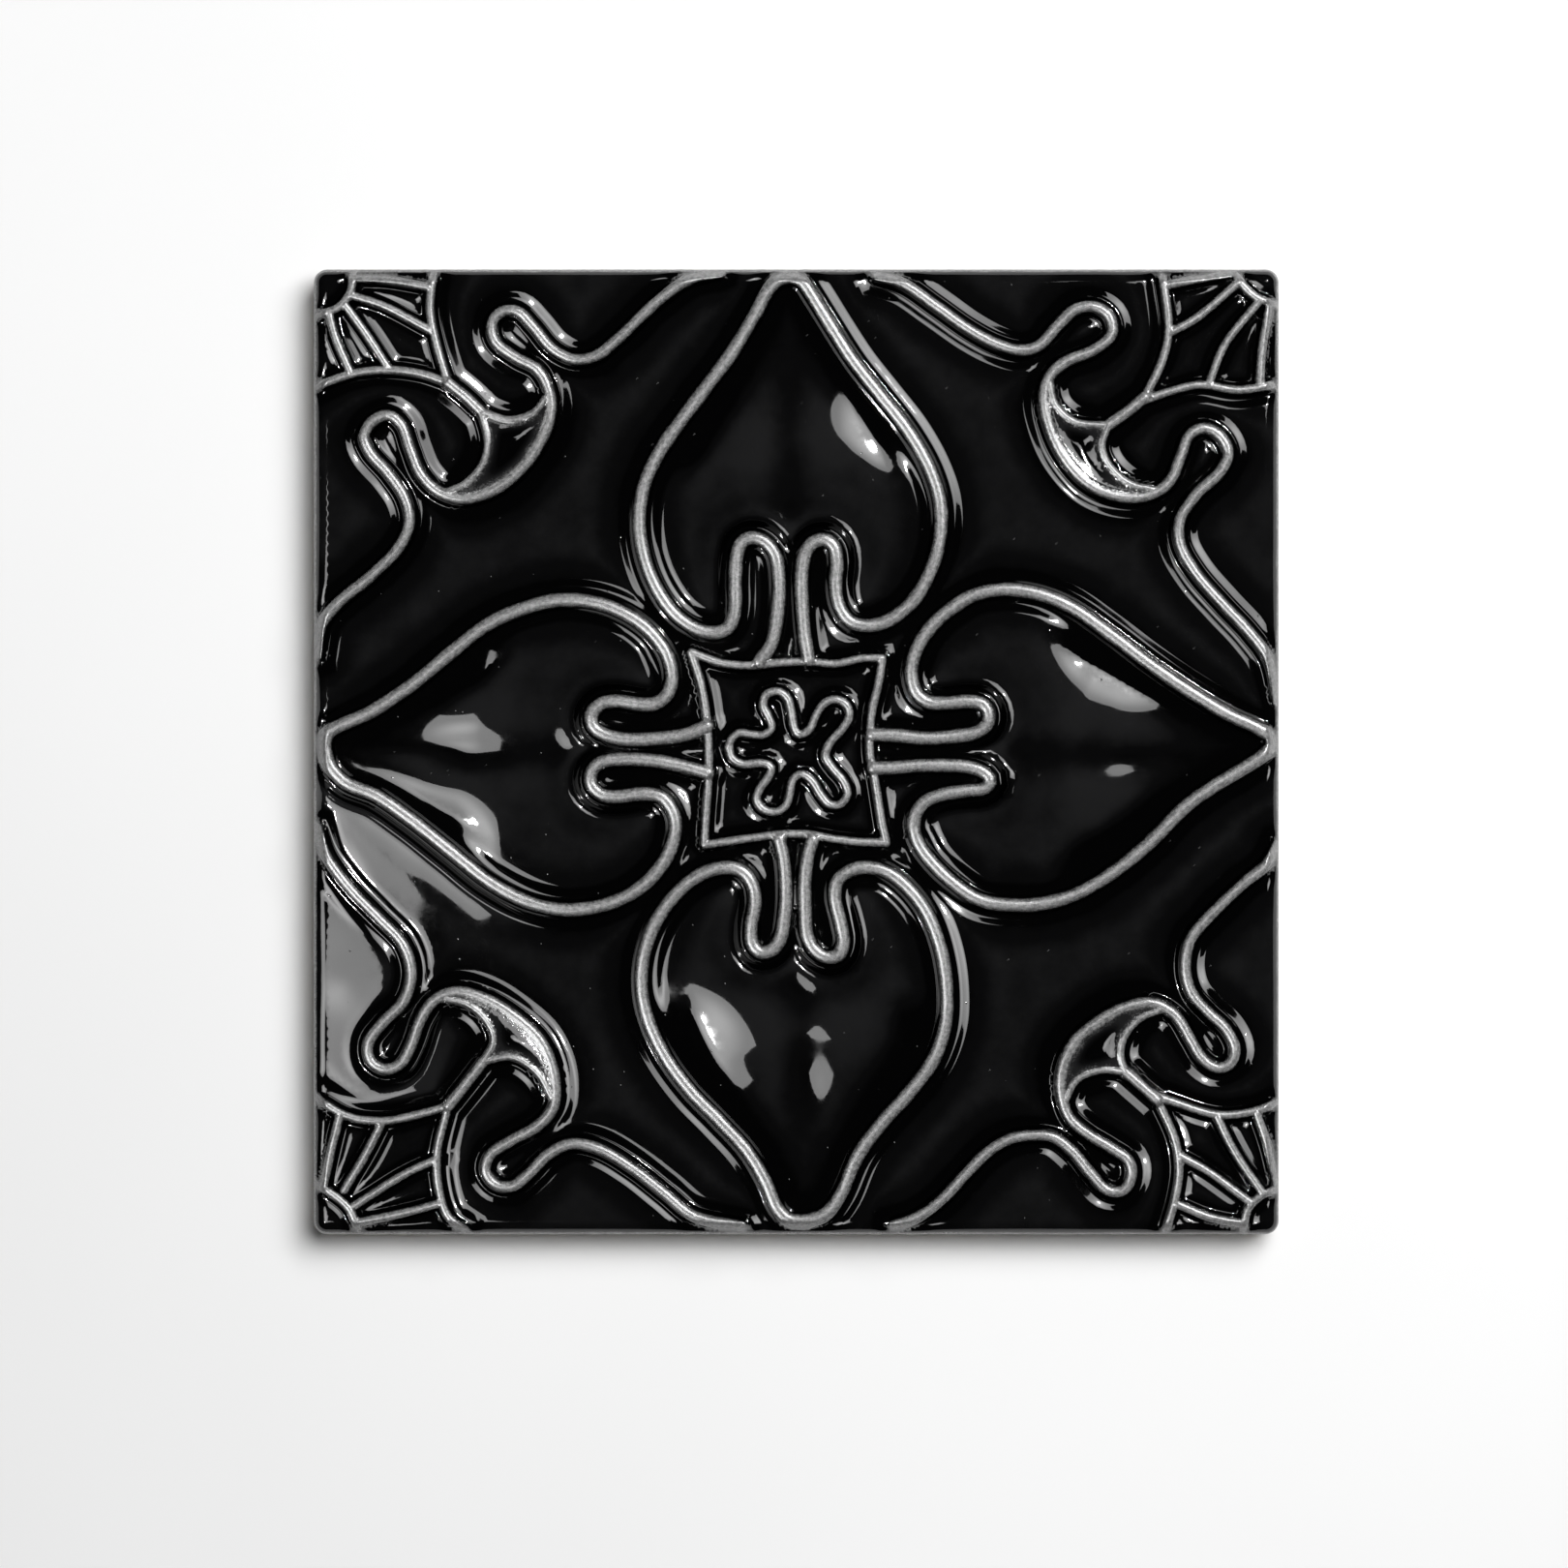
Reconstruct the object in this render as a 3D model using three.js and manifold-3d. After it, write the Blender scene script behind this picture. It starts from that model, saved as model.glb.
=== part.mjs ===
// Faience wall tile: one pressed and glazed slab with a raised-line ornament of four heart petals.
// Millimetres. The origin is the centre of the flat back, +Z comes out of the glazed face,
// +X is the right side of the ornament and +Y its top.
import * as THREE from 'three';
import { mergeVertices } from 'three/addons/utils/BufferGeometryUtils.js';
import Module from 'manifold-3d';

// Slab
const TILE_SIDE = 150;
const CORNER_RADIUS = 2.1;
const GROUND_HEIGHT = 8.7;
const FACE_ROUNDING = 2;
const BACK_CHAMFER = 0.6;

// Relief
const PETAL_LINE_WIDTH = 3;
const SCROLL_LINE_WIDTH = 2.5;
const MAIN_LINE_RISE = 2;
const FINE_LINE_WIDTH = 1.9;
const FINE_LINE_RISE = 1.5;
const LINE_FOOT = 3.4;
const CRESCENT_RISE = 1.4;
const GROOVE_WIDTH = 0.7;
const PETAL_RISE = 1.8;
const PETAL_VALLEY_OVERLAP = 4.2;
const FIELD_RISE = 0.9;
const EDGE_INSET = 0.12;
const EDGE_ROUNDING = 2.2;

// Slivers shorter than this, left where raised shapes cross, are taken out.
const SLIVER = 0.02;

// Facets
const LINE_SAG = 0.14;
const LINE_SAMPLES_PER_SPAN = 8;
const DOME_STEP = 7;
const DOME_RINGS = 3;
const ROUNDING_SEGMENTS = 3;
const CORNER_SEGMENTS = 4;

// The ornament is drawn in hundredths of half the side, x to the right and y up.
const UNIT = TILE_SIDE / 200;

const SQUARE = [
  [[-21.8, 20.6], [-15.7, 18.4], [-9.5, 17.8], [-3.6, 18.4], [2.4, 18.6], [8.2, 18.2], [13.8, 19.3], [17.8, 19.3]],
  [[17.8, 19.3], [17, 14.3], [15.7, 8.8], [15.2, 3.2], [15.3, -1], [16.1, -5], [16.9, -10], [17.7, -15],
    [18.6, -18.8]],
  [[18.6, -18.8], [12.7, -18.6], [7.6, -18], [2.4, -17.1], [-2.5, -17], [-7.7, -17.6], [-14.7, -18.6],
    [-19, -19.2]],
  [[-19, -19.2], [-18.7, -13.7], [-18.2, -6.8], [-18.1, 0], [-18.5, 6.7], [-19.6, 13.6], [-21.8, 20.6]],
];

const FLOWER = [
  [-14, 0.9], [-13.4, 2.6], [-11.8, 3.9], [-9.4, 3.6], [-6.8, 3.5], [-5.1, 4.9], [-5.7, 7.2], [-6.8, 9.4],
  [-6.3, 11.7], [-3.9, 12.5], [-1.9, 11.2], [-1.1, 8.7], [-0.4, 5], [0.6, 3.5], [2.7, 4.6], [3.9, 7.2], [5.8, 10],
  [8.2, 10.8], [10.4, 9.6], [11, 7.6], [9.4, 4.6], [6.9, 1.8], [6, -0.9], [7.5, -3.4], [9.7, -6], [10.6, -8.6],
  [9.2, -10.8], [6.9, -10.9], [5, -8.8], [3.2, -6], [1, -4.6], [-0.7, -5.8], [-1.3, -8.5], [-2, -10.9],
  [-4, -12.4], [-6.8, -11.9], [-8.2, -9.9], [-7.5, -7.6], [-5.8, -5.3], [-5.2, -3.2], [-7.2, -2.3],
  [-10.9, -2.6], [-13.2, -1.4],
];

// Each half petal is a stem from the square to the top of its hook, and a lobe from there to the tip.
// inner says on which side of the lobe's line the petal lies: 1 left, -1 right.
const PETALS = [
  {
    axis: [[-1.2, 44], [-1.5, 70], [-0.6, 93]],
    halves: [
      {
        inner: -1,
        stem: [[-7.7, 18.5], [-5.3, 22], [-4, 27.9], [-3.6, 34.2], [-4.2, 40.1], [-5.6, 42.5], [-7.6, 43.9]],
        lobe: [[-9.7, 44.1], [-11.4, 43.1], [-12.3, 40.4], [-12.6, 35.3], [-12.6, 29.7], [-13.1, 27.2],
          [-14.4, 25.3], [-16.7, 24.6], [-20.5, 25.3], [-24.7, 28], [-28.5, 33], [-31.2, 39.4], [-32.4, 46.5],
          [-31.7, 54], [-28.8, 61], [-24.3, 67.7], [-18.7, 75.2], [-13.2, 82.6], [-8.6, 90.2], [-5.6, 95.6],
          [-3.1, 97.7], [-0.5, 98]],
      },
      {
        inner: 1,
        stem: [[2.5, 19], [1.7, 24], [1.2, 30], [1.1, 36.6], [2, 41.4], [4, 43.5]],
        lobe: [[6.2, 43.7], [7.9, 42.1], [8.4, 39], [8.1, 34.5], [8.9, 30], [11, 27], [14.5, 26], [18.6, 26.9],
          [23.3, 30.3], [27.3, 36.3], [29.5, 43.2], [29.7, 51.1], [27.6, 58.2], [23.2, 66], [17.6, 73.2],
          [12, 80.3], [7.2, 87.7], [3.4, 93.8], [1.2, 97], [-0.5, 98]],
      },
    ],
  },
  {
    axis: [[42, -0.8], [68, -0.4], [93, 0.4]],
    halves: [
      {
        inner: -1,
        stem: [[15.7, 3.5], [20, 3.4], [26.9, 2.8], [33.9, 3.3], [37.4, 4.1], [39.4, 5.7]],
        lobe: [[39.7, 8], [38.4, 9.9], [35.3, 10.4], [30.6, 10], [27.3, 10.2], [24.9, 11.9], [23.8, 15.2],
          [24.3, 19.8], [27.2, 25], [31.6, 29.3], [37, 32.5], [43.2, 33.5], [50, 32.6], [56.7, 29.9],
          [64.4, 24.6], [72.7, 18.3], [81, 12.6], [89.3, 7.6], [95.2, 4.9], [98, 3], [98.2, 1]],
      },
      {
        inner: 1,
        stem: [[15.9, -3.4], [20, -3.3], [25, -2.9], [30, -2.8], [35, -3.1], [38.6, -4.2]],
        lobe: [[40.1, -6], [38.8, -7.6], [35, -8.1], [30.4, -8.8], [26.8, -10.2], [24.8, -12.5], [24.2, -15.3],
          [25.1, -18.8], [28, -22.9], [32.4, -27.1], [38, -30.7], [45, -31.7], [51.5, -31.3], [58.4, -29.1],
          [65, -25.2], [72.5, -19.3], [80, -11.7], [85.5, -7.6], [91.5, -4], [95.8, -1.2], [98.2, 1]],
      },
    ],
  },
  {
    axis: [[-0.6, -42], [1.5, -68], [1.8, -92]],
    halves: [
      {
        inner: -1,
        stem: [[3.4, -18.2], [2.4, -21.6], [1.8, -26], [1.8, -33], [2.2, -38], [3.8, -41]],
        lobe: [[6.4, -42.5], [8.7, -42], [9.7, -39.2], [9, -35], [7.9, -30], [8.4, -26.8], [10.6, -24.8],
          [14, -23.9], [18.4, -24.7], [22.9, -28], [26.9, -33.2], [29.6, -40], [31, -48], [30.8, -56.2],
          [28.3, -63.6], [23.5, -70.2], [17.5, -76.9], [12.7, -83.5], [9, -91.8], [6, -95.5], [1.9, -97]],
      },
      {
        inner: 1,
        stem: [[-3.5, -18.2], [-2.6, -22.4], [-2.2, -28], [-2.4, -33.6], [-3.4, -38.8], [-5.2, -41]],
        lobe: [[-7.5, -41.4], [-9.1, -39.7], [-9.3, -36.2], [-8.5, -31], [-9.1, -27.4], [-11.1, -24.8],
          [-14.3, -23.9], [-18.8, -24.9], [-24, -28.5], [-28.9, -35], [-31.3, -41.2], [-32, -48], [-30.9, -54.6],
          [-27.6, -62.1], [-22.2, -69.7], [-16, -76.1], [-10, -82.7], [-6.2, -89.2], [-4, -94.3], [-1.6, -96.6],
          [1.9, -97]],
      },
    ],
  },
  {
    axis: [[-44, 0.6], [-70, -0.6], [-92.5, 0.6]],
    halves: [
      {
        inner: 1,
        stem: [[-18.5, 5.3], [-22, 3.8], [-29, 2.7], [-35.5, 2.6], [-39.8, 3.6], [-42, 5.3]],
        lobe: [[-42.3, 7.7], [-40.4, 9.9], [-37, 10.4], [-32.5, 9.8], [-28.9, 10], [-26.7, 11.8], [-25.7, 15],
          [-26.7, 19.9], [-29.9, 24.5], [-34.8, 28.2], [-41.2, 30.7], [-48.4, 31.3], [-56, 29.7], [-63.8, 26.2],
          [-71.5, 20.3], [-79.8, 13.5], [-87.8, 8.3], [-94, 5.5], [-96.8, 3.8], [-97.5, 1]],
      },
      {
        inner: -1,
        stem: [[-18.3, -4.4], [-22.5, -3.2], [-29.9, -1.8], [-36.5, -1.6], [-40.3, -2.2]],
        lobe: [[-42.2, -4], [-42.4, -6.7], [-40.4, -8.8], [-37, -9.3], [-31.6, -8.7], [-28, -9.3], [-25.7, -12],
          [-24.9, -15.4], [-26.1, -20.3], [-29.6, -25.7], [-35, -29.8], [-41.6, -32.1], [-48.4, -32.6],
          [-55.6, -31], [-63.4, -26.9], [-71.2, -20.7], [-79.8, -13.9], [-86.8, -9.1], [-93, -6.5],
          [-96.3, -3], [-97.5, 1]],
      },
    ],
  },
];

// Each corner has a scroll line in three parts, from one edge of the tile to the other; two rims that close the
// crescent against the scroll's middle part; a stalk; and a fan with its side, ring and rays.
const CORNERS = [
  {
    scrollIn: [[-15.7, 99.2], [-21.9, 97.7], [-28.9, 92.8], [-36.1, 85.9], [-41.5, 81.7], [-46, 81], [-50.4, 83.2],
      [-54.4, 87.8], [-57.6, 90.9], [-60.7, 90.9], [-62.8, 88.6], [-62.3, 84.9], [-58, 81.4], [-53.6, 79]],
    scrollMiddle: [[-51.4, 75.4], [-50.7, 70.6], [-52.3, 65.1], [-56.3, 59], [-62.2, 54.2], [-68.9, 52.2],
      [-73.8, 53.6]],
    scrollOut: [[-77.6, 57.4], [-79.8, 62.6], [-81.6, 67.5], [-84.2, 69.5], [-87.5, 68.2], [-89.3, 65.2],
      [-88.2, 62], [-84.2, 57.4], [-80.9, 52.4], [-79.9, 47.5], [-82, 42.3], [-87.8, 36.3], [-94.6, 30.7],
      [-98, 26.3], [-99.4, 19.6]],
    rimIn: [[-51.4, 73.6], [-54.2, 70.1], [-59.2, 68.5], [-65.3, 70.4]],
    rimOut: [[-72.6, 53.4], [-68.4, 55.4], [-64.9, 59.2], [-63.8, 64.2], [-65.3, 70.4]],
    stalk: [[-65.3, 70.4], [-68.2, 73.2], [-71.9, 76.2]],
    fanArc: [[-71.9, 76.2], [-77.7, 78.1], [-84.7, 78.9], [-91.6, 78.1], [-99.7, 75.3]],
    fanSide: [[-71.9, 76.2], [-74.3, 83.9], [-75.7, 91.5], [-75, 98.9]],
    fanRing: [[-91.6, 98.9], [-92.1, 95], [-94.6, 91.8], [-99.7, 90]],
    rays: [
      [[-91.6, 97.9], [-84.8, 97.5], [-76, 96]],
      [[-92, 94.3], [-85.4, 92.2], [-75.5, 87]],
      [[-93.2, 92.2], [-89.4, 87], [-84.4, 79.4]],
      [[-96.6, 90.9], [-95.1, 85.3], [-92.2, 78.6]],
    ],
  },
  {
    scrollIn: [[16.6, 98.4], [22.1, 96.6], [29, 91.9], [36, 87], [41.8, 84], [46.4, 82.9], [50, 83.8], [53.8, 87.8],
      [57.6, 91.3], [61.4, 91.9], [64.6, 89.9], [65.1, 86.2], [61.7, 83.1], [55.6, 80.5]],
    scrollMiddle: [[52.2, 77.4], [51.1, 73], [52.1, 67.4], [55.1, 60.9], [60.2, 55.3], [66.6, 52.7], [72.7, 52.9]],
    scrollOut: [[77, 55.7], [79.4, 61], [81.2, 65.4], [84, 66.8], [87.2, 65.5], [89.2, 61.8], [87.7, 58.1],
      [82.5, 53], [79.2, 47.8], [79.2, 43], [82.4, 37.1], [88, 30.6], [93.7, 24.5], [97.6, 19], [99.7, 10.2]],
    rimIn: [[52.2, 76.9], [53.5, 71.6], [57.6, 68.1], [64.4, 67.4]],
    rimOut: [[73.6, 54.2], [68.8, 55.4], [64.8, 58.9], [63.1, 63], [64.4, 67.4]],
    stalk: [[64.4, 67.4], [68, 70], [72, 73.2]],
    fanArc: [[71.6, 72.5], [77.2, 74.4], [83.4, 75.8], [91.1, 74.7], [98.6, 75.8]],
    fanSide: [[72, 73.2], [75.8, 81.4], [76.9, 87.5], [75.7, 98.2]],
    fanRing: [[90.7, 99.2], [92.5, 96.1], [95.5, 93.6], [99.6, 92.4]],
    rays: [
      [[76.6, 96.4], [82.8, 97.6], [90.6, 99.2]],
      [[77.2, 86.6], [82.4, 89.4], [91.6, 97.2]],
      [[85.2, 76], [88.6, 84.2], [95.6, 93]],
      [[95.7, 75.2], [96.2, 83], [97.9, 92.6]],
    ],
  },
  {
    scrollIn: [[20, -97.9], [24.8, -96.2], [30, -92.5], [35, -87.2], [39.6, -82.6], [44, -80], [48.6, -79.2],
      [53, -79.6], [57.2, -82.7], [61, -87.3], [64.4, -90.6], [67.4, -90.6], [69.1, -88], [68.7, -84.6],
      [64.9, -81.8], [60, -78.8]],
    scrollMiddle: [[56.4, -75.5], [54.7, -70.5], [54.9, -65.5], [57.6, -59.7], [62.5, -55.6], [67.8, -52.8],
      [73.6, -51.9]],
    scrollOut: [[78.2, -54.4], [81.4, -59.4], [83.8, -63.3], [86.8, -65.3], [89.6, -64.4], [90.6, -61.5],
      [88.9, -57.6], [85, -53.8], [81.6, -49.8], [80.3, -44.6], [81.4, -38.8], [85.6, -33.7], [92, -27.5],
      [97.2, -23.2], [99.6, -19.2]],
    rimIn: [[55.6, -72], [57.8, -67.9], [62.8, -65.8], [68, -66.2]],
    rimOut: [[75, -53.4], [71, -55.1], [67.8, -58.7], [67, -62.6], [68, -66.2]],
    stalk: [[68, -66.2], [71.2, -69], [74.6, -72]],
    fanArc: [[68.8, -66.2], [73.4, -70.4], [79, -72.7], [87, -75], [94, -74.4], [99.6, -72.6]],
    fanSide: [[74.6, -72], [78.2, -80.1], [79.1, -86.5], [78.2, -92.6], [76.4, -98.9]],
    fanRing: [[92.4, -98.9], [93.2, -94.7], [96, -91.7], [99.7, -90.4]],
    rays: [
      [[86.9, -75.4], [90.7, -82.9], [96.2, -91]],
      [[95.1, -74.8], [97.3, -81.2], [99.4, -89.6]],
      [[79.1, -83.4], [85, -86.7], [93.6, -93]],
      [[78.2, -93.2], [85, -96], [92.6, -97.6]],
    ],
  },
  {
    scrollIn: [[-99.2, -15.5], [-97.1, -21.4], [-92.3, -28.1], [-86.4, -34.2], [-81.2, -39.8], [-79.5, -45.6],
      [-80.9, -51.3], [-85.2, -55.8], [-88.3, -60.1], [-87.9, -63.8], [-85, -65.6], [-81.8, -64.5],
      [-79.6, -60.8], [-77.4, -55]],
    scrollMiddle: [[-74.6, -51.2], [-70.1, -49.5], [-64.2, -51], [-57.9, -54.8], [-52.6, -60], [-49.9, -67.2],
      [-50.2, -73.4]],
    scrollOut: [[-53.5, -77.3], [-59, -80.4], [-63.3, -83.4], [-64.2, -86.6], [-62, -89.4], [-58.5, -89.7],
      [-54.8, -86.7], [-51.3, -83.2], [-46.5, -81], [-41, -81.9], [-34, -85.9], [-27.2, -91.2], [-21.6, -95.7],
      [-16.5, -97.2], [-11, -98]],
    rimIn: [[-73.4, -50.9], [-68, -52.1], [-64.1, -55.4], [-62.5, -59.6], [-64.6, -63.9]],
    rimOut: [[-50.6, -71.4], [-53.3, -66.5], [-58.4, -63.1], [-64.6, -63.9]],
    stalk: [[-64.6, -63.9], [-68, -68.3], [-71.9, -73.2]],
    fanArc: [[-71.9, -73.2], [-77.7, -74.8], [-84.7, -76.2], [-92, -75.5], [-99.6, -71.4]],
    fanSide: [[-71.9, -73.2], [-74.2, -82.9], [-73.9, -90], [-71.8, -96.2], [-68.4, -98.8]],
    fanRing: [[-90.6, -98.6], [-92.4, -94.4], [-96.2, -91.1], [-100, -89]],
    rays: [
      [[-94.3, -75.2], [-96.2, -83], [-97.8, -90.3]],
      [[-85.6, -76.6], [-88.8, -82.9], [-93.4, -90.6]],
      [[-74, -84], [-81.2, -87.4], [-91.6, -94]],
      [[-73.4, -93.2], [-80.5, -95.1], [-90.6, -97.3]],
    ],
  },
];

// The swelling fields between neighbouring petals, each with the line along which it is highest.
const FIELDS = [
  {
    outline: [[-37, 36.5], [-36.8, 48], [-36, 57], [-31, 66], [-24, 75.5], [-17, 85], [-13, 94], [-17.5, 95.5],
      [-26, 89.5], [-34, 82], [-40.5, 77], [-45.8, 75.5], [-47, 67], [-52.5, 56.5], [-60, 49.6], [-69, 47.5],
      [-75.2, 48], [-77.5, 40.5], [-84.5, 32], [-92.5, 25], [-95, 17], [-94.5, 10], [-88.5, 12], [-80, 18],
      [-70, 26], [-60, 32.5], [-48, 36]],
    crest: [[-16, 91], [-33, 73], [-47, 50], [-70, 36], [-91, 17]],
  },
  {
    outline: [[35.5, 38], [35.3, 48], [33.5, 58], [28, 68], [20, 78.5], [13, 89], [11.5, 95], [17, 94.5], [26, 88.6],
      [35, 82.5], [42, 79], [47, 78], [47, 70], [51, 60.5], [57.5, 52], [66, 48.2], [74, 48.2], [75.5, 40],
      [83, 29.5], [90.5, 21.5], [94.5, 14], [95.5, 9], [90.5, 11], [80.5, 17.5], [70.5, 25.5], [60, 33],
      [47, 38]],
    crest: [[15, 91], [33, 72], [46, 52], [68, 37], [91, 14]],
  },
  {
    outline: [[36, -37], [36, -49], [35, -60], [29, -69.5], [21, -78.5], [15.5, -87], [12, -95], [19, -94.5],
      [27, -90], [34, -82], [42, -76], [49, -74.6], [50.5, -64], [55, -56], [64, -49], [74, -47.5], [76.2, -42],
      [79, -34.5], [86, -27.5], [93.5, -20.5], [95.5, -13], [93.5, -8.5], [84, -14], [75, -22.5], [65, -30.5],
      [53, -36], [44, -37.5]],
    crest: [[16, -91], [33, -73], [48, -52], [68, -36], [91, -14]],
  },
  {
    outline: [[-37, -37.5], [-36.5, -50], [-35, -58], [-30, -66], [-22.5, -75.5], [-15, -83.5], [-10.8, -93.5],
      [-16, -93], [-24, -88], [-33, -80.5], [-40, -76.8], [-45.8, -75.8], [-45.6, -67], [-49.5, -57], [-57, -50],
      [-66, -45.5], [-74.8, -45], [-76.5, -38], [-84, -29.5], [-92, -21.5], [-94.5, -14], [-92, -11.5],
      [-83, -17], [-73.5, -25.5], [-64, -32], [-55, -36], [-46, -38]],
    crest: [[-15, -90], [-33, -72], [-47, -51], [-70, -36], [-90, -17]],
  },
];

const wasm = await Module();
wasm.setup();

function toSolid(geometry) {
  geometry.deleteAttribute('normal');
  geometry.deleteAttribute('uv');
  const merged = mergeVertices(geometry, 1e-4);
  return new wasm.Manifold(new wasm.Mesh({
    numProp: 3,
    vertProperties: new Float32Array(merged.attributes.position.array),
    triVerts: new Uint32Array(merged.index.array),
  }));
}

function toGeometry(solid) {
  const mesh = solid.getMesh();
  const geometry = new THREE.BufferGeometry();
  geometry.setAttribute('position', new THREE.BufferAttribute(new Float32Array(mesh.vertProperties), 3));
  geometry.setIndex(Array.from(mesh.triVerts));
  geometry.computeVertexNormals();
  return geometry;
}

function onTile([x, y]) {
  return new THREE.Vector3(x * UNIT, y * UNIT, 0);
}

// A spline whose steps lie where the curve needs them, close together in bends and far apart on straight runs.
class SteppedSpline extends THREE.Curve {
  constructor(points) {
    super();
    this.spline = new THREE.CatmullRomCurve3(points.map(onTile), false, 'centripetal');
    const count = (points.length - 1) * LINE_SAMPLES_PER_SPAN;
    this.stops = [0];
    for (let next = 2; next <= count; next += 1) {
      if (this.sag(this.stops.at(-1), next / count) > LINE_SAG) this.stops.push((next - 1) / count);
    }
    this.stops.push(1);
    this.steps = this.stops.length - 1;
  }

  sag(from, to) {
    const chord = new THREE.Line3(this.spline.getPoint(from), this.spline.getPoint(to));
    const middle = this.spline.getPoint((from + to) / 2);
    return chord.closestPointToPoint(middle, true, new THREE.Vector3()).distanceTo(middle);
  }

  stopAt(t) {
    return this.stops[Math.round(t * this.steps)];
  }

  getPoint(t) {
    return this.spline.getPoint(this.stopAt(t));
  }

  getTangent(t) {
    return this.spline.getTangent(this.stopAt(t));
  }

  getUtoTmapping(u) {
    return u;
  }
}

// The section's x runs down into the slab and its y across the line.
function lineSection(width, rise) {
  const half = width / 2;
  const shoulder = half * 0.6;
  return new THREE.Shape([
    new THREE.Vector2(LINE_FOOT, -half),
    new THREE.Vector2(0, -half),
    new THREE.Vector2(-rise * 0.74, -shoulder),
    new THREE.Vector2(-rise, 0),
    new THREE.Vector2(-rise * 0.74, shoulder),
    new THREE.Vector2(0, half),
    new THREE.Vector2(LINE_FOOT, half),
  ]);
}

function raisedLine(points, width, rise) {
  const path = new SteppedSpline(points);
  const geometry = new THREE.ExtrudeGeometry(lineSection(width, rise), {
    steps: path.steps,
    extrudePath: path,
  });
  geometry.translate(0, 0, GROUND_HEIGHT);
  return toSolid(geometry);
}

function petalLine({ stem, lobe }) {
  return raisedLine([...stem, ...lobe], PETAL_LINE_WIDTH, MAIN_LINE_RISE);
}

function scrollLine(...parts) {
  return raisedLine(parts.flat(), SCROLL_LINE_WIDTH, MAIN_LINE_RISE);
}

function fineLine(points) {
  return raisedLine(points, FINE_LINE_WIDTH, FINE_LINE_RISE);
}

// A round conical stud with a line's section closes the joint where two line ends meet at an angle.
function lineJoint(point, width, rise) {
  const half = width / 2;
  const profile = [
    new THREE.Vector2(0, -LINE_FOOT),
    new THREE.Vector2(half, -LINE_FOOT),
    new THREE.Vector2(half, 0),
    new THREE.Vector2(half * 0.6, rise * 0.74),
    new THREE.Vector2(0, rise),
  ];
  const geometry = new THREE.LatheGeometry(profile, 8);
  geometry.rotateX(Math.PI / 2);
  const centre = onTile(point);
  geometry.translate(centre.x, centre.y, GROUND_HEIGHT);
  return toSolid(geometry);
}

// A swelling: rings drawn in from the outline towards the crest line, each one higher along a round profile.
function dome(outline, crest, rise) {
  const bottom = -LINE_FOOT;
  const rings = [outline.map((point) => new THREE.Vector3(point.x, point.y, bottom))];
  for (let ring = 0; ring <= DOME_RINGS; ring += 1) {
    const share = (ring / (DOME_RINGS + 0.4)) ** 1.2;
    const height = rise * Math.sin(share * Math.PI / 2);
    rings.push(outline.map((point) => {
      const target = nearestOn(crest, point);
      return new THREE.Vector3().lerpVectors(point, target, share).setZ(height);
    }));
  }
  const count = outline.length;
  const vertices = rings.flat();
  const index = [];
  for (let ring = 0; ring < rings.length - 1; ring += 1) {
    for (let i = 0; i < count; i += 1) {
      const a = ring * count + i;
      const b = ring * count + (i + 1) % count;
      index.push(a, b, b + count, a, b + count, a + count);
    }
  }
  const flat = (ring) => ring.map((point) => new THREE.Vector2(point.x, point.y));
  const top = (rings.length - 1) * count;
  THREE.ShapeUtils.triangulateShape(flat(rings.at(-1)), []).forEach(([a, b, c]) => {
    index.push(top + a, top + b, top + c);
  });
  THREE.ShapeUtils.triangulateShape(flat(rings[0]), []).forEach(([a, b, c]) => {
    index.push(c, b, a);
  });
  const geometry = new THREE.BufferGeometry().setFromPoints(vertices);
  geometry.setIndex(index);
  geometry.translate(0, 0, GROUND_HEIGHT);
  return toSolid(geometry);
}

function nearestOn(line, point) {
  let nearest = line[0];
  for (let i = 0; i < line.length - 1; i += 1) {
    const candidate = new THREE.Line3(line[i], line[i + 1]).closestPointToPoint(point, true, new THREE.Vector3());
    if (candidate.distanceTo(point) < nearest.distanceTo(point)) nearest = candidate;
  }
  return nearest;
}

function spacedPoints(points, closed) {
  const spline = new THREE.CatmullRomCurve3(points, closed, 'centripetal');
  const steps = Math.ceil(spline.getLength() / DOME_STEP);
  const spaced = spline.getSpacedPoints(steps);
  return closed ? spaced.slice(0, -1) : spaced;
}

function counterclockwise(outline) {
  return THREE.ShapeUtils.area(outline) > 0 ? outline : outline.toReversed();
}

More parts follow.
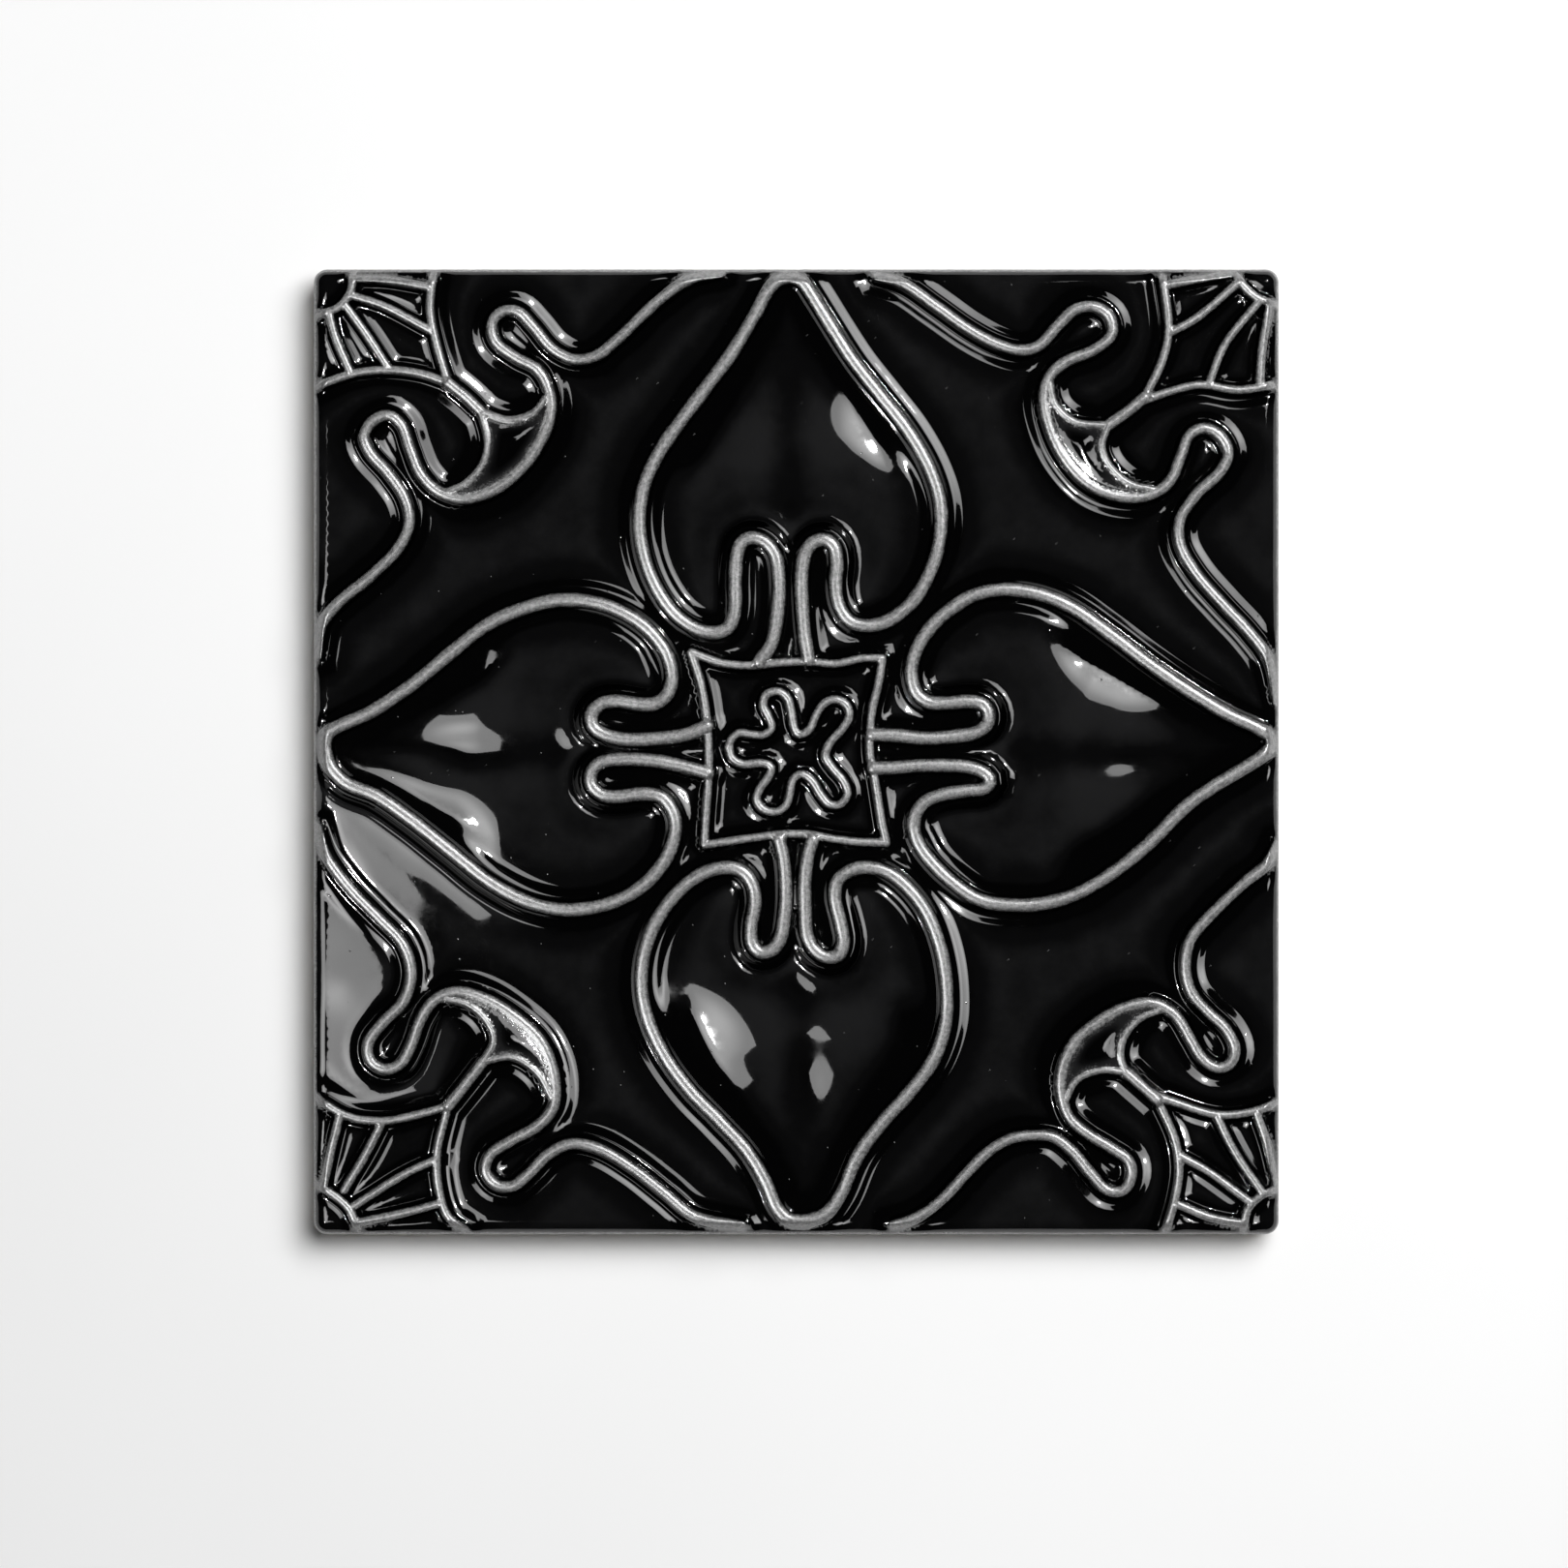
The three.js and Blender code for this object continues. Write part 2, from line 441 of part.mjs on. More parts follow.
// Half a petal swells between its line, one groove away, and a return a little past the petal's axis.
// The two halves cross there and leave the valley between them.
function petalHalf({ lobe, inner }, axis) {
  const spline = new THREE.CatmullRomCurve3(lobe.map(onTile), false, 'centripetal');
  const steps = Math.ceil(spline.getLength() / DOME_STEP);
  const inset = PETAL_LINE_WIDTH / 2 + GROOVE_WIDTH;
  const side = [];
  for (let i = 0; i <= steps; i += 1) {
    const tangent = spline.getTangentAt(i / steps);
    const inward = new THREE.Vector3(-tangent.y, tangent.x, 0).multiplyScalar(inner * inset);
    side.push(spline.getPointAt(i / steps).add(inward));
  }
  const middle = axis.map(onTile);
  const start = middle[0];
  const end = middle.at(-1);
  const along = new THREE.Vector3().subVectors(end, start).normalize();
  const across = new THREE.Vector3(-along.y, along.x, 0).multiplyScalar(inner * PETAL_VALLEY_OVERLAP);
  const waist = middle[1].clone().add(across);
  const heel = start.clone().addScaledVector(across, 0.6);
  const tip = end.clone().addScaledVector(across, 0.15);
  const farFromTip = side.filter((point) => point.distanceTo(end) > PETAL_LINE_WIDTH
    && point.clone().sub(end).dot(along) < 0);
  const outline = counterclockwise([...farFromTip, tip, waist, heel]);
  const belly = widestPoint(farFromTip, start, along);
  const crestStart = belly.clone().lerp(start, 0.45).addScaledVector(along, -0.1 * belly.distanceTo(start));
  const crestMiddle = belly.clone().lerp(middle[1], 0.5);
  const crestEnd = middle[1].clone().lerp(end, 0.72).addScaledVector(across, -0.3);
  return dome(outline, [crestStart, crestMiddle, crestEnd], PETAL_RISE);
}

function widestPoint(points, start, along) {
  const away = (point) => {
    const offset = point.clone().sub(start);
    return offset.addScaledVector(along, -offset.dot(along)).length();
  };
  return points.reduce((widest, point) => (away(point) > away(widest) ? point : widest));
}

function field({ outline, crest }) {
  return dome(counterclockwise(spacedPoints(outline.map(onTile), true)), crest.map(onTile), FIELD_RISE);
}

// The crescent is a flat step that fills the space between the scroll and the two rims.
function crescent({ scrollMiddle, rimIn, rimOut }) {
  const outline = counterclockwise([
    ...spacedPoints([rimIn[0], ...scrollMiddle.slice(1, -1), rimOut[0]].map(onTile), false),
    ...spacedPoints(rimOut.map(onTile), false).slice(1, -1),
    ...spacedPoints(rimIn.toReversed().map(onTile), false).slice(0, -1),
  ]);
  const geometry = new THREE.ExtrudeGeometry(new THREE.Shape(outline), {
    depth: LINE_FOOT + CRESCENT_RISE,
    bevelEnabled: false,
  });
  geometry.translate(0, 0, GROUND_HEIGHT - LINE_FOOT);
  return toSolid(geometry);
}

function roundedSquare(side, radius) {
  const half = side / 2;
  const shape = new THREE.Shape();
  shape.moveTo(half - radius, -half);
  shape.absarc(half - radius, radius - half, radius, -Math.PI / 2, 0, false);
  shape.absarc(half - radius, half - radius, radius, 0, Math.PI / 2, false);
  shape.absarc(radius - half, half - radius, radius, Math.PI / 2, Math.PI, false);
  shape.absarc(radius - half, radius - half, radius, Math.PI, Math.PI * 1.5, false);
  shape.closePath();
  return shape;
}

// A block of the tile's outline: chamfered at the back, upright at the side and rounded over at the face.
function block(side, radius, height, chamfer, rounding) {
  const levels = [[0, chamfer], [chamfer, 0]];
  for (let i = 0; i <= ROUNDING_SEGMENTS; i += 1) {
    const angle = (i / ROUNDING_SEGMENTS) * Math.PI / 2;
    levels.push([height - rounding * (1 - Math.sin(angle)), rounding * (1 - Math.cos(angle))]);
  }
  const rings = levels.map(([z, inset]) => {
    const shape = roundedSquare(side - 2 * inset, Math.max(radius - inset, radius * 0.2));
    const outline = shape.extractPoints(CORNER_SEGMENTS).shape;
    return outline.slice(0, -1).map((point) => new THREE.Vector3(point.x, point.y, z));
  });
  const count = rings[0].length;
  const index = [];
  for (let ring = 0; ring < rings.length - 1; ring += 1) {
    for (let i = 0; i < count; i += 1) {
      const a = ring * count + i;
      const b = ring * count + (i + 1) % count;
      index.push(a, b, b + count, a, b + count, a + count);
    }
  }
  const last = (rings.length - 1) * count;
  for (let i = 1; i < count - 1; i += 1) {
    index.push(0, i + 1, i);
    index.push(last, last + i, last + i + 1);
  }
  const geometry = new THREE.BufferGeometry().setFromPoints(rings.flat());
  geometry.setIndex(index);
  return toSolid(geometry);
}

function ornament() {
  const solids = SQUARE.map((line) => fineLine(line));
  solids.push(...SQUARE.map((line) => lineJoint(line[0], FINE_LINE_WIDTH, FINE_LINE_RISE)));
  solids.push(fineLine([...FLOWER, ...FLOWER.slice(0, 2)]));
  for (const { axis, halves } of PETALS) {
    for (const half of halves) {
      solids.push(petalLine(half));
      solids.push(petalHalf(half, axis));
    }
    solids.push(lineJoint(halves[0].lobe.at(-1), PETAL_LINE_WIDTH, MAIN_LINE_RISE));
  }
  for (const corner of CORNERS) {
    solids.push(scrollLine(corner.scrollIn, corner.scrollMiddle, corner.scrollOut));
    solids.push(crescent(corner));
    solids.push(scrollLine(corner.rimIn), scrollLine(corner.rimOut), scrollLine(corner.stalk));
    solids.push(lineJoint(corner.rimIn.at(-1), SCROLL_LINE_WIDTH, MAIN_LINE_RISE));
    solids.push(lineJoint(corner.fanSide[0], SCROLL_LINE_WIDTH, MAIN_LINE_RISE));
    solids.push(fineLine(corner.fanArc), fineLine(corner.fanSide), fineLine(corner.fanRing));
    solids.push(...corner.rays.map((ray) => fineLine(ray)));
  }
  solids.push(...FIELDS.map((area) => field(area)));
  return solids.reduce((whole, solid) => whole.add(solid));
}

const slab = block(TILE_SIDE, CORNER_RADIUS, GROUND_HEIGHT, BACK_CHAMFER, FACE_ROUNDING);
const reliefLimit = block(
  TILE_SIDE - 2 * EDGE_INSET,
  CORNER_RADIUS,
  GROUND_HEIGHT + MAIN_LINE_RISE,
  BACK_CHAMFER,
  EDGE_ROUNDING,
);
const tileSolid = slab.add(ornament().intersect(reliefLimit)).simplify(SLIVER);

const glaze = new THREE.MeshStandardMaterial({ color: 0x0c0d0e, roughness: 0.12, metalness: 0 });
const reliefTile = new THREE.Mesh(toGeometry(tileSolid), glaze);
reliefTile.name = 'relief_tile';

const tile = new THREE.Group();
tile.add(reliefTile);

export default tile;
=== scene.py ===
"""Look of the faience wall tile: its pressed relief, black glaze and fired clay body, seen from above."""

import math

import bpy
import numpy as np
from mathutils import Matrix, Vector
from mathutils.geometry import delaunay_2d_cdt
from mathutils.kdtree import KDTree


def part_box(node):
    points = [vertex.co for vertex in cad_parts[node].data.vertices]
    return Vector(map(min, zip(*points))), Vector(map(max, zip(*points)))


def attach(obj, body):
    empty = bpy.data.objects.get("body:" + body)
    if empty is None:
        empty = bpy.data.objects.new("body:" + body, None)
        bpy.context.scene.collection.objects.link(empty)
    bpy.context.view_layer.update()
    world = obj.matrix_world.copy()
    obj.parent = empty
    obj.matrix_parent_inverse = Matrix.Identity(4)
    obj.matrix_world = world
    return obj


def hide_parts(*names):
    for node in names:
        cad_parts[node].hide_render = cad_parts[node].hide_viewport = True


# Sizes of the tile, in metres
MM = 0.001
CORNER_RADIUS = 2.1 * MM
GROUND_HEIGHT = 8.7 * MM
FACE_ROUNDING = 2.0 * MM
BACK_CHAMFER = 0.6 * MM

# Raised lines: width at the foot and height above the grooves
PETAL_LINE = (3.0 * MM, 2.0 * MM)
SCROLL_LINE = (2.5 * MM, 2.0 * MM)
FINE_LINE = (1.9 * MM, 1.5 * MM)
RIM_LINE = (1.7 * MM, 1.9 * MM)

# Ground between the lines: a step out of the groove, and a pillow,
# each as (height, reach from the line's foot)
GROOVE_FLAT = 0.6 * MM
FIELD_STEP = (0.38 * MM, 1.9 * MM)
FIELD_SWELL = (0.2 * MM, 8.0 * MM)
PETAL_STEP = (0.45 * MM, 1.9 * MM)
FAN_STEP = (0.25 * MM, 0.9 * MM)
FAN_SWELL = (0.2 * MM, 2.0 * MM)
SQUARE_STEP = (0.28 * MM, 1.3 * MM)
SQUARE_SWELL = (0.2 * MM, 3.0 * MM)
CRESCENT_RIM = 1.75 * MM
CRESCENT_DISH = (0.65 * MM, 2.4 * MM)
SWELL_SOFTNESS = 0.32 * MM
EDGE_FADE = 2.4 * MM

# Petals: a dome on each half, as high as its crown, that is lower at the heel by the hooks and at the tip.
# The first points of each lobe belong to the hook.
PETAL_FULLNESS = 0.085
PETAL_CROWN = 1.5 * MM
CROWN_PLACE = 0.75
HEEL_SHARE = 0.6
HEEL_BLEND = 0.2
TIP_BLEND = 0.4
TIP_SHARE = 0.15
HOOK_POINTS = 7
HOOK_REACH = 2.2 * MM
HOOK_POWER = 2.5
POOL_DEPTH = 0.08 * MM
VALLEY_DEPTH = 0.55 * MM
VALLEY_WIDTH = 3.8 * MM
VALLEY_REACH = 0.2
VALLEY_FADE = 5 * MM
VALLEY_START = (-0.45, 0.35)
VALLEY_END = (1.0, 0.5)

# Left margin: ground that leans outward in the pocket by the lower scroll, a hump in it, and a bank under
# the left petal. Places are in the ornament's units, and a fade is given as its start and its run.
LEFT_PETAL = 3
LEAN = 0.1
LEAN_AXIS = -87
LEAN_RIGHT = (-68, 14)
LEAN_TOP = (-14, 12)
LEAN_BOTTOM = (-76, 6)
LEAN_FADE = 2.0 * MM
POCKET_EDGE = (-109, -0.64)
POCKET_FADE = 6
HUMP_HEIGHT = 0.16 * MM
HUMP_PLACE = (-93.5, -48)
HUMP_REACH = 4.5
BANK_HEIGHT = 1.25 * MM
BANK_WIDTH = 3.4 * MM
BANK_RIGHT = (-48, 18)
BANK_FADE = 0.9 * MM

# Section of the lines, and how they run into the ground
CREST_CURVE = 0.4
FLANK_POWER = 6
FILLET_SHARE = 0.25
TOP_RISE = 2.0 * MM

# How thick the glaze lies: thin on crests and rim, and deep where the ground lies low or close to a line. The
# rim's grey is partly thin glaze and partly painted reflection of the rounded edge.
RIM_START = 0.2 * MM
RIM_REACH = 0.9 * MM
# Painted reflection on the rim: its grey share, and a tilt that paints it lighter toward the top left, where
# the edge faces the lights.
RIM_THIN_GLAZE_AND_REFLECTION = 0.82
RIM_PAINTED_REFLECTION_TILT = 0.34
DISH_THINNESS = 0.5
DISH_REACH = 1.4 * MM
DISH_SINK = 0.4
BULGE_RANGE = 0.4 * MM
POOL_SOFTNESS = 2.4 * MM
POOL_REACH = 7.0 * MM

# Surface points
CURVE_STEPS = 16
SLOPE_SPAN = 0.06 * MM
LINE_STEP = 0.6 * MM
FINE_STEP = 0.15 * MM
GRID_STEP = 0.8 * MM
MAP_STEP = 0.3 * MM
LEAST_SPACING = 0.12 * MM
ACROSS_LINE = (0, 0.3, 0.58, 0.8, 0.965, 1.06)
BESIDE_LINE = (0.55 * MM, 1.05 * MM, 1.55 * MM, 2.1 * MM, 2.7 * MM)
EDGE_ROWS = [0, 0.05 * MM, 0.18 * MM, 0.38 * MM, 0.68 * MM, 1.08 * MM, 1.5 * MM, 2.0 * MM]
ROW_CLEARANCE = 0.97
EDGE_CLEARANCE = 0.9
LEAST_RADIUS = 0.15 * MM
CORNER_STEPS = 8
SIDE_STEPS = 180
SIDE_LEVELS = (5.2 * MM, 3.6 * MM, 2.0 * MM, BACK_CHAMFER)
FLOOR_REACH = 3.0

# Lengths that count as none
TINY = 1e-12
ON_EDGE = 1e-6
SAME_PLACE = 1e-6

# Photograph: its width in metres on the tile's face, and where it is aimed
PICTURE_WIDTH = 0.2426
AIM = (-0.0019, -0.0050)
LENS = 120.0
SENSOR = 36.0

# Studio: softboxes and small hot lamps that show in the glaze, a broad key above the right that only lights
# what is matt, and a soft light below the floor, for the back. Each has its azimuth counterclockwise from
# the right, its elevation, both in degrees, its distance, its size, its radiance, and whether it is mirrored.
LIGHTS = {
    "right_softbox": (47, 58.5, 1.1, (0.44, 0.38), 4.6, True),
    "left_softbox": (207, 62.5, 1.1, (0.58, 0.52), 5.0, True),
    "right_lamp": (47, 54, 1.08, (0.05, 0.05), 1500.0, True),
    "left_lamp": (214, 56, 1.08, (0.05, 0.05), 1000.0, True),
    "key": (45, 63, 1.1, (0.7, 0.74), 13.4, False),
    "under_light": (30, -75, 1.2, (0.9, 0.9), 2.2, False),
}
MIDDLE_GLOW = 1.7
EDGE_GLOW = 0.85
AIR_GLOW = 0.012

# Colours
DEEP_BLACK = (0.0003, 0.0003, 0.00035, 1)
OPEN_BLACK = (0.0016, 0.0016, 0.0017, 1)
HIGH_BLACK = (0.0085, 0.0085, 0.0088, 1)
CREST_DARK = (0.055, 0.055, 0.056, 1)
CREST_PALE = (0.20, 0.20, 0.198, 1)
GLAZE_LIP = (0.07, 0.066, 0.062, 1)
CLAY_DARK = (0.50, 0.40, 0.29, 1)
CLAY_PALE = (0.62, 0.52, 0.40, 1)
CLAY_GRAIN = (0.26, 0.17, 0.11, 1)
FLOOR_TONES = ((0.68, 0.68, 0.68, 1), (0.7, 0.7, 0.7, 1))

# Noises of the surfaces, as cells a metre, detail and roughness
DRIFT = (260.0, 4.0, 0.6)
GRAIN = (4600.0, 2.0, 0.65)
MOTTLE = (1700.0, 3.0, 0.6)
GLAZE_RUN = (190.0, 3.0, 0.5)
GLOSS = (700.0, 3.0, 0.6)
WAVE = (110.0, 0.0, 0.5)
CLAY_CLOUD = (120.0, 4.0, 0.6)
CLAY_SPECK = (1900.0, 2.0, 0.5)
CLAY_SHEEN = (900.0, 3.0, 0.6)
CLAY_COARSE = (420.0, 4.0, 0.6)
CLAY_FINE = (3400.0, 3.0, 0.6)
FLOOR_CLOUD = (6.0, 2.0, 0.5)
PIT_SCALE = 330.0

# How far a noise swings what it works on, and the shares of two noises in the flecks
THIN_DRIFT = 0.5
THIN_GRAIN = 0.3
BULGE_DRIFT = 0.4
FLECK_SHARES = (0.4, 0.6)
SPECK_SHARE = 0.6

# Bumps, as depth in metres and strength
WAVE_RELIEF = (0.0003, 0.4)
PIT_RELIEF = (0.00005, 0.4)
RUBBED_RELIEF = (0.00004, 1.0)
COARSE_RELIEF = (0.0002, 0.6)
FINE_RELIEF = (0.00007, 0.6)

# Ranges over which one look goes into the next
BREAKING_RANGE = (0.42, 0.86)
POOLED_RANGE = (-0.25, 0.2)
HIGH_RANGE = (0.2, 0.95)
FLECK_RANGE = (0.36, 0.64)
PIT_RANGE = (0.02, 0.06)
GLOSS_RANGE = (0.3, 0.75)
CLOUD_RANGE = (0.3, 0.7)
SPECK_RANGE = (0.64, 0.72)

# Where the glaze ends above the back, with its soft edge and the pale lip over it
GLAZE_END = 0.0004
GLAZE_END_DRIFT = 0.0036
GLAZE_END_SOFTNESS = 0.00012
LIP_RANGE = (0.0001, 0.0011)
LIP_SHARE = 0.55

# Shine
GLAZE_IOR = 1.55
GLAZE_SHINE = 0.5
CREST_SHINE = 0.5
GLAZE_ROUGHNESS = (0.035, 0.07)
CREST_ROUGHNESS = 0.28
BODY_ROUGHNESS = 0.65
CLAY_ROUGHNESS = (0.78, 0.92)
FLOOR_ROUGHNESS = 0.9
FLOOR_SHINE = 0.1

# The ornament's points are in hundredths of half the tile's side, x to the right and y up.
SQUARE = [
    [
        (-21.8, 20.6), (-15.7, 18.4), (-9.5, 17.8), (-3.6, 18.4), (2.4, 18.6), (8.2, 18.2),
        (13.8, 19.3), (17.8, 19.3),
    ],
    [
        (17.8, 19.3), (17, 14.3), (15.7, 8.8), (15.2, 3.2), (15.3, -1), (16.1, -5), (16.9, -10),
        (17.7, -15), (18.6, -18.8),
    ],
    [
        (18.6, -18.8), (12.7, -18.6), (7.6, -18), (2.4, -17.1), (-2.5, -17), (-7.7, -17.6),
        (-14.7, -18.6), (-19, -19.2),
    ],
    [(-19, -19.2), (-18.7, -13.7), (-18.2, -6.8), (-18.1, 0), (-18.5, 6.7), (-19.6, 13.6), (-21.8, 20.6)],
]

FLOWER = [
    (-14, 0.9), (-13.4, 2.6), (-11.8, 3.9), (-9.4, 3.6), (-6.8, 3.5), (-5.1, 4.9), (-5.7, 7.2),
    (-6.8, 9.4), (-6.3, 11.7), (-3.9, 12.5), (-1.9, 11.2), (-1.1, 8.7), (-0.4, 5), (0.6, 3.5),
    (2.7, 4.6), (3.9, 7.2), (5.8, 10), (8.2, 10.8), (10.4, 9.6), (11, 7.6), (9.4, 4.6), (6.9, 1.8),
    (6, -0.9), (7.5, -3.4), (9.7, -6), (10.6, -8.6), (9.2, -10.8), (6.9, -10.9), (5, -8.8), (3.2, -6),
    (1, -4.6), (-0.7, -5.8), (-1.3, -8.5), (-2, -10.9), (-4, -12.4), (-6.8, -11.9), (-8.2, -9.9),
    (-7.5, -7.6), (-5.8, -5.3), (-5.2, -3.2), (-7.2, -2.3), (-10.9, -2.6), (-13.2, -1.4),
]

# Each half petal is a stem from the square to the top of its hook, and a lobe from there to the tip.
# bellies say between which shares of the axis each half swells most, pool how much of a half lies low beside
# its line, and valley how much deeper the middle is and where along the axis.
PETALS = [
    {
        "axis": [(-1.2, 44), (-1.5, 70), (-0.6, 93)],
        "bellies": [(0.3, 0.6), (0.34, 0.6)],
        "pool": 0.2,
        "valley": (-0.25 * MM, 0.5),
        "halves": [
            {
                "stem": [
                    (-7.7, 18.5), (-5.3, 22), (-4, 27.9), (-3.6, 34.2), (-4.2, 40.1), (-5.6, 42.5),
                    (-7.6, 43.9),
                ],
                "lobe": [
                    (-9.7, 44.1), (-11.4, 43.1), (-12.3, 40.4), (-12.6, 35.3), (-12.6, 29.7),
                    (-13.1, 27.2), (-14.4, 25.3), (-16.7, 24.6), (-20.5, 25.3), (-24.7, 28),
                    (-28.5, 33), (-31.2, 39.4), (-32.4, 46.5), (-31.7, 54), (-28.8, 61), (-24.3, 67.7),
                    (-18.7, 75.2), (-13.2, 82.6), (-8.6, 90.2), (-5.6, 95.6), (-3.1, 97.7), (-0.5, 98),
                ],
            },
            {
                "stem": [(2.5, 19), (1.7, 24), (1.2, 30), (1.1, 36.6), (2, 41.4), (4, 43.5)],
                "lobe": [
                    (6.2, 43.7), (7.9, 42.1), (8.4, 39), (8.1, 34.5), (8.9, 30), (11, 27), (14.5, 26),
                    (18.6, 26.9), (23.3, 30.3), (27.3, 36.3), (29.5, 43.2), (29.7, 51.1), (27.6, 58.2),
                    (23.2, 66), (17.6, 73.2), (12, 80.3), (7.2, 87.7), (3.4, 93.8), (1.2, 97),
                    (-0.5, 98),
                ],
            },
        ],
    },
    {
        "axis": [(42, -0.8), (68, -0.4), (93, 0.4)],
        "bellies": [(0.26, 0.66), (0.25, 0.6)],
        "pool": 0.22,
        "valley": (-0.04 * MM, 0.39),
        "halves": [
            {
                "stem": [(15.7, 3.5), (20, 3.4), (26.9, 2.8), (33.9, 3.3), (37.4, 4.1), (39.4, 5.7)],
                "lobe": [
                    (39.7, 8), (38.4, 9.9), (35.3, 10.4), (30.6, 10), (27.3, 10.2), (24.9, 11.9),
                    (23.8, 15.2), (24.3, 19.8), (27.2, 25), (31.6, 29.3), (37, 32.5), (43.2, 33.5),
                    (50, 32.6), (56.7, 29.9), (64.4, 24.6), (72.7, 18.3), (81, 12.6), (89.3, 7.6),
                    (95.2, 4.9), (98, 3), (98.2, 1),
                ],
            },
            {
                "stem": [(15.9, -3.4), (20, -3.3), (25, -2.9), (30, -2.8), (35, -3.1), (38.6, -4.2)],
                "lobe": [
                    (40.1, -6), (38.8, -7.6), (35, -8.1), (30.4, -8.8), (26.8, -10.2), (24.8, -12.5),
                    (24.2, -15.3), (25.1, -18.8), (28, -22.9), (32.4, -27.1), (38, -30.7), (45, -31.7),
                    (51.5, -31.3), (58.4, -29.1), (65, -25.2), (72.5, -19.3), (80, -11.7), (85.5, -7.6),
                    (91.5, -4), (95.8, -1.2), (98.2, 1),
                ],
            },
        ],
    },
    {
        "axis": [(-0.6, -42), (1.5, -68), (1.8, -92)],
        "bellies": [(0.22, 0.44), (0.16, 0.46)],
        "pool": 0.26,
        "valley": (-0.08 * MM, 0.34),
        "halves": [
            {
                "stem": [(3.4, -18.2), (2.4, -21.6), (1.8, -26), (1.8, -33), (2.2, -38), (3.8, -41)],
                "lobe": [
                    (6.4, -42.5), (8.7, -42), (9.7, -39.2), (9, -35), (7.9, -30), (8.4, -26.8),
                    (10.6, -24.8), (14, -23.9), (18.4, -24.7), (22.9, -28), (26.9, -33.2), (29.6, -40),
                    (31, -48), (30.8, -56.2), (28.3, -63.6), (23.5, -70.2), (17.5, -76.9),
                    (12.7, -83.5), (9, -91.8), (6, -95.5), (1.9, -97),
                ],
            },
            {
                "stem": [
                    (-3.5, -18.2), (-2.6, -22.4), (-2.2, -28), (-2.4, -33.6), (-3.4, -38.8),
                    (-5.2, -41),
                ],
                "lobe": [
                    (-7.5, -41.4), (-9.1, -39.7), (-9.3, -36.2), (-8.5, -31), (-9.1, -27.4),
                    (-11.1, -24.8), (-14.3, -23.9), (-18.8, -24.9), (-24, -28.5), (-28.9, -35),
                    (-31.3, -41.2), (-32, -48), (-30.9, -54.6), (-27.6, -62.1), (-22.2, -69.7),
                    (-16, -76.1), (-10, -82.7), (-6.2, -89.2), (-4, -94.3), (-1.6, -96.6), (1.9, -97),
                ],
            },
        ],
    },
    {
        "axis": [(-44, 0.6), (-70, -0.6), (-92.5, 0.6)],
        "bellies": [(0.36, 0.62), (0.45, 0.88)],
        "pool": 0.24,
        "valley": (0.3 * MM, 0.5),
        "halves": [
            {
                "stem": [(-18.5, 5.3), (-22, 3.8), (-29, 2.7), (-35.5, 2.6), (-39.8, 3.6), (-42, 5.3)],
                "lobe": [
                    (-42.3, 7.7), (-40.4, 9.9), (-37, 10.4), (-32.5, 9.8), (-28.9, 10), (-26.7, 11.8),
                    (-25.7, 15), (-26.7, 19.9), (-29.9, 24.5), (-34.8, 28.2), (-41.2, 30.7),
                    (-48.4, 31.3), (-56, 29.7), (-63.8, 26.2), (-71.5, 20.3), (-79.8, 13.5),
                    (-87.8, 8.3), (-94, 5.5), (-96.8, 3.8), (-97.5, 1),
                ],
            },
            {
                "stem": [(-18.3, -4.4), (-22.5, -3.2), (-29.9, -1.8), (-36.5, -1.6), (-40.3, -2.2)],
                "lobe": [
                    (-42.2, -4), (-42.4, -6.7), (-40.4, -8.8), (-37, -9.3), (-31.6, -8.7), (-28, -9.3),
                    (-25.7, -12), (-24.9, -15.4), (-26.1, -20.3), (-29.6, -25.7), (-35, -29.8),
                    (-41.6, -32.1), (-48.4, -32.6), (-55.6, -31), (-63.4, -26.9), (-71.2, -20.7),
                    (-79.8, -13.9), (-86.8, -9.1), (-93, -6.5), (-96.3, -3), (-97.5, 1),
                ],
            },
        ],
    },
]

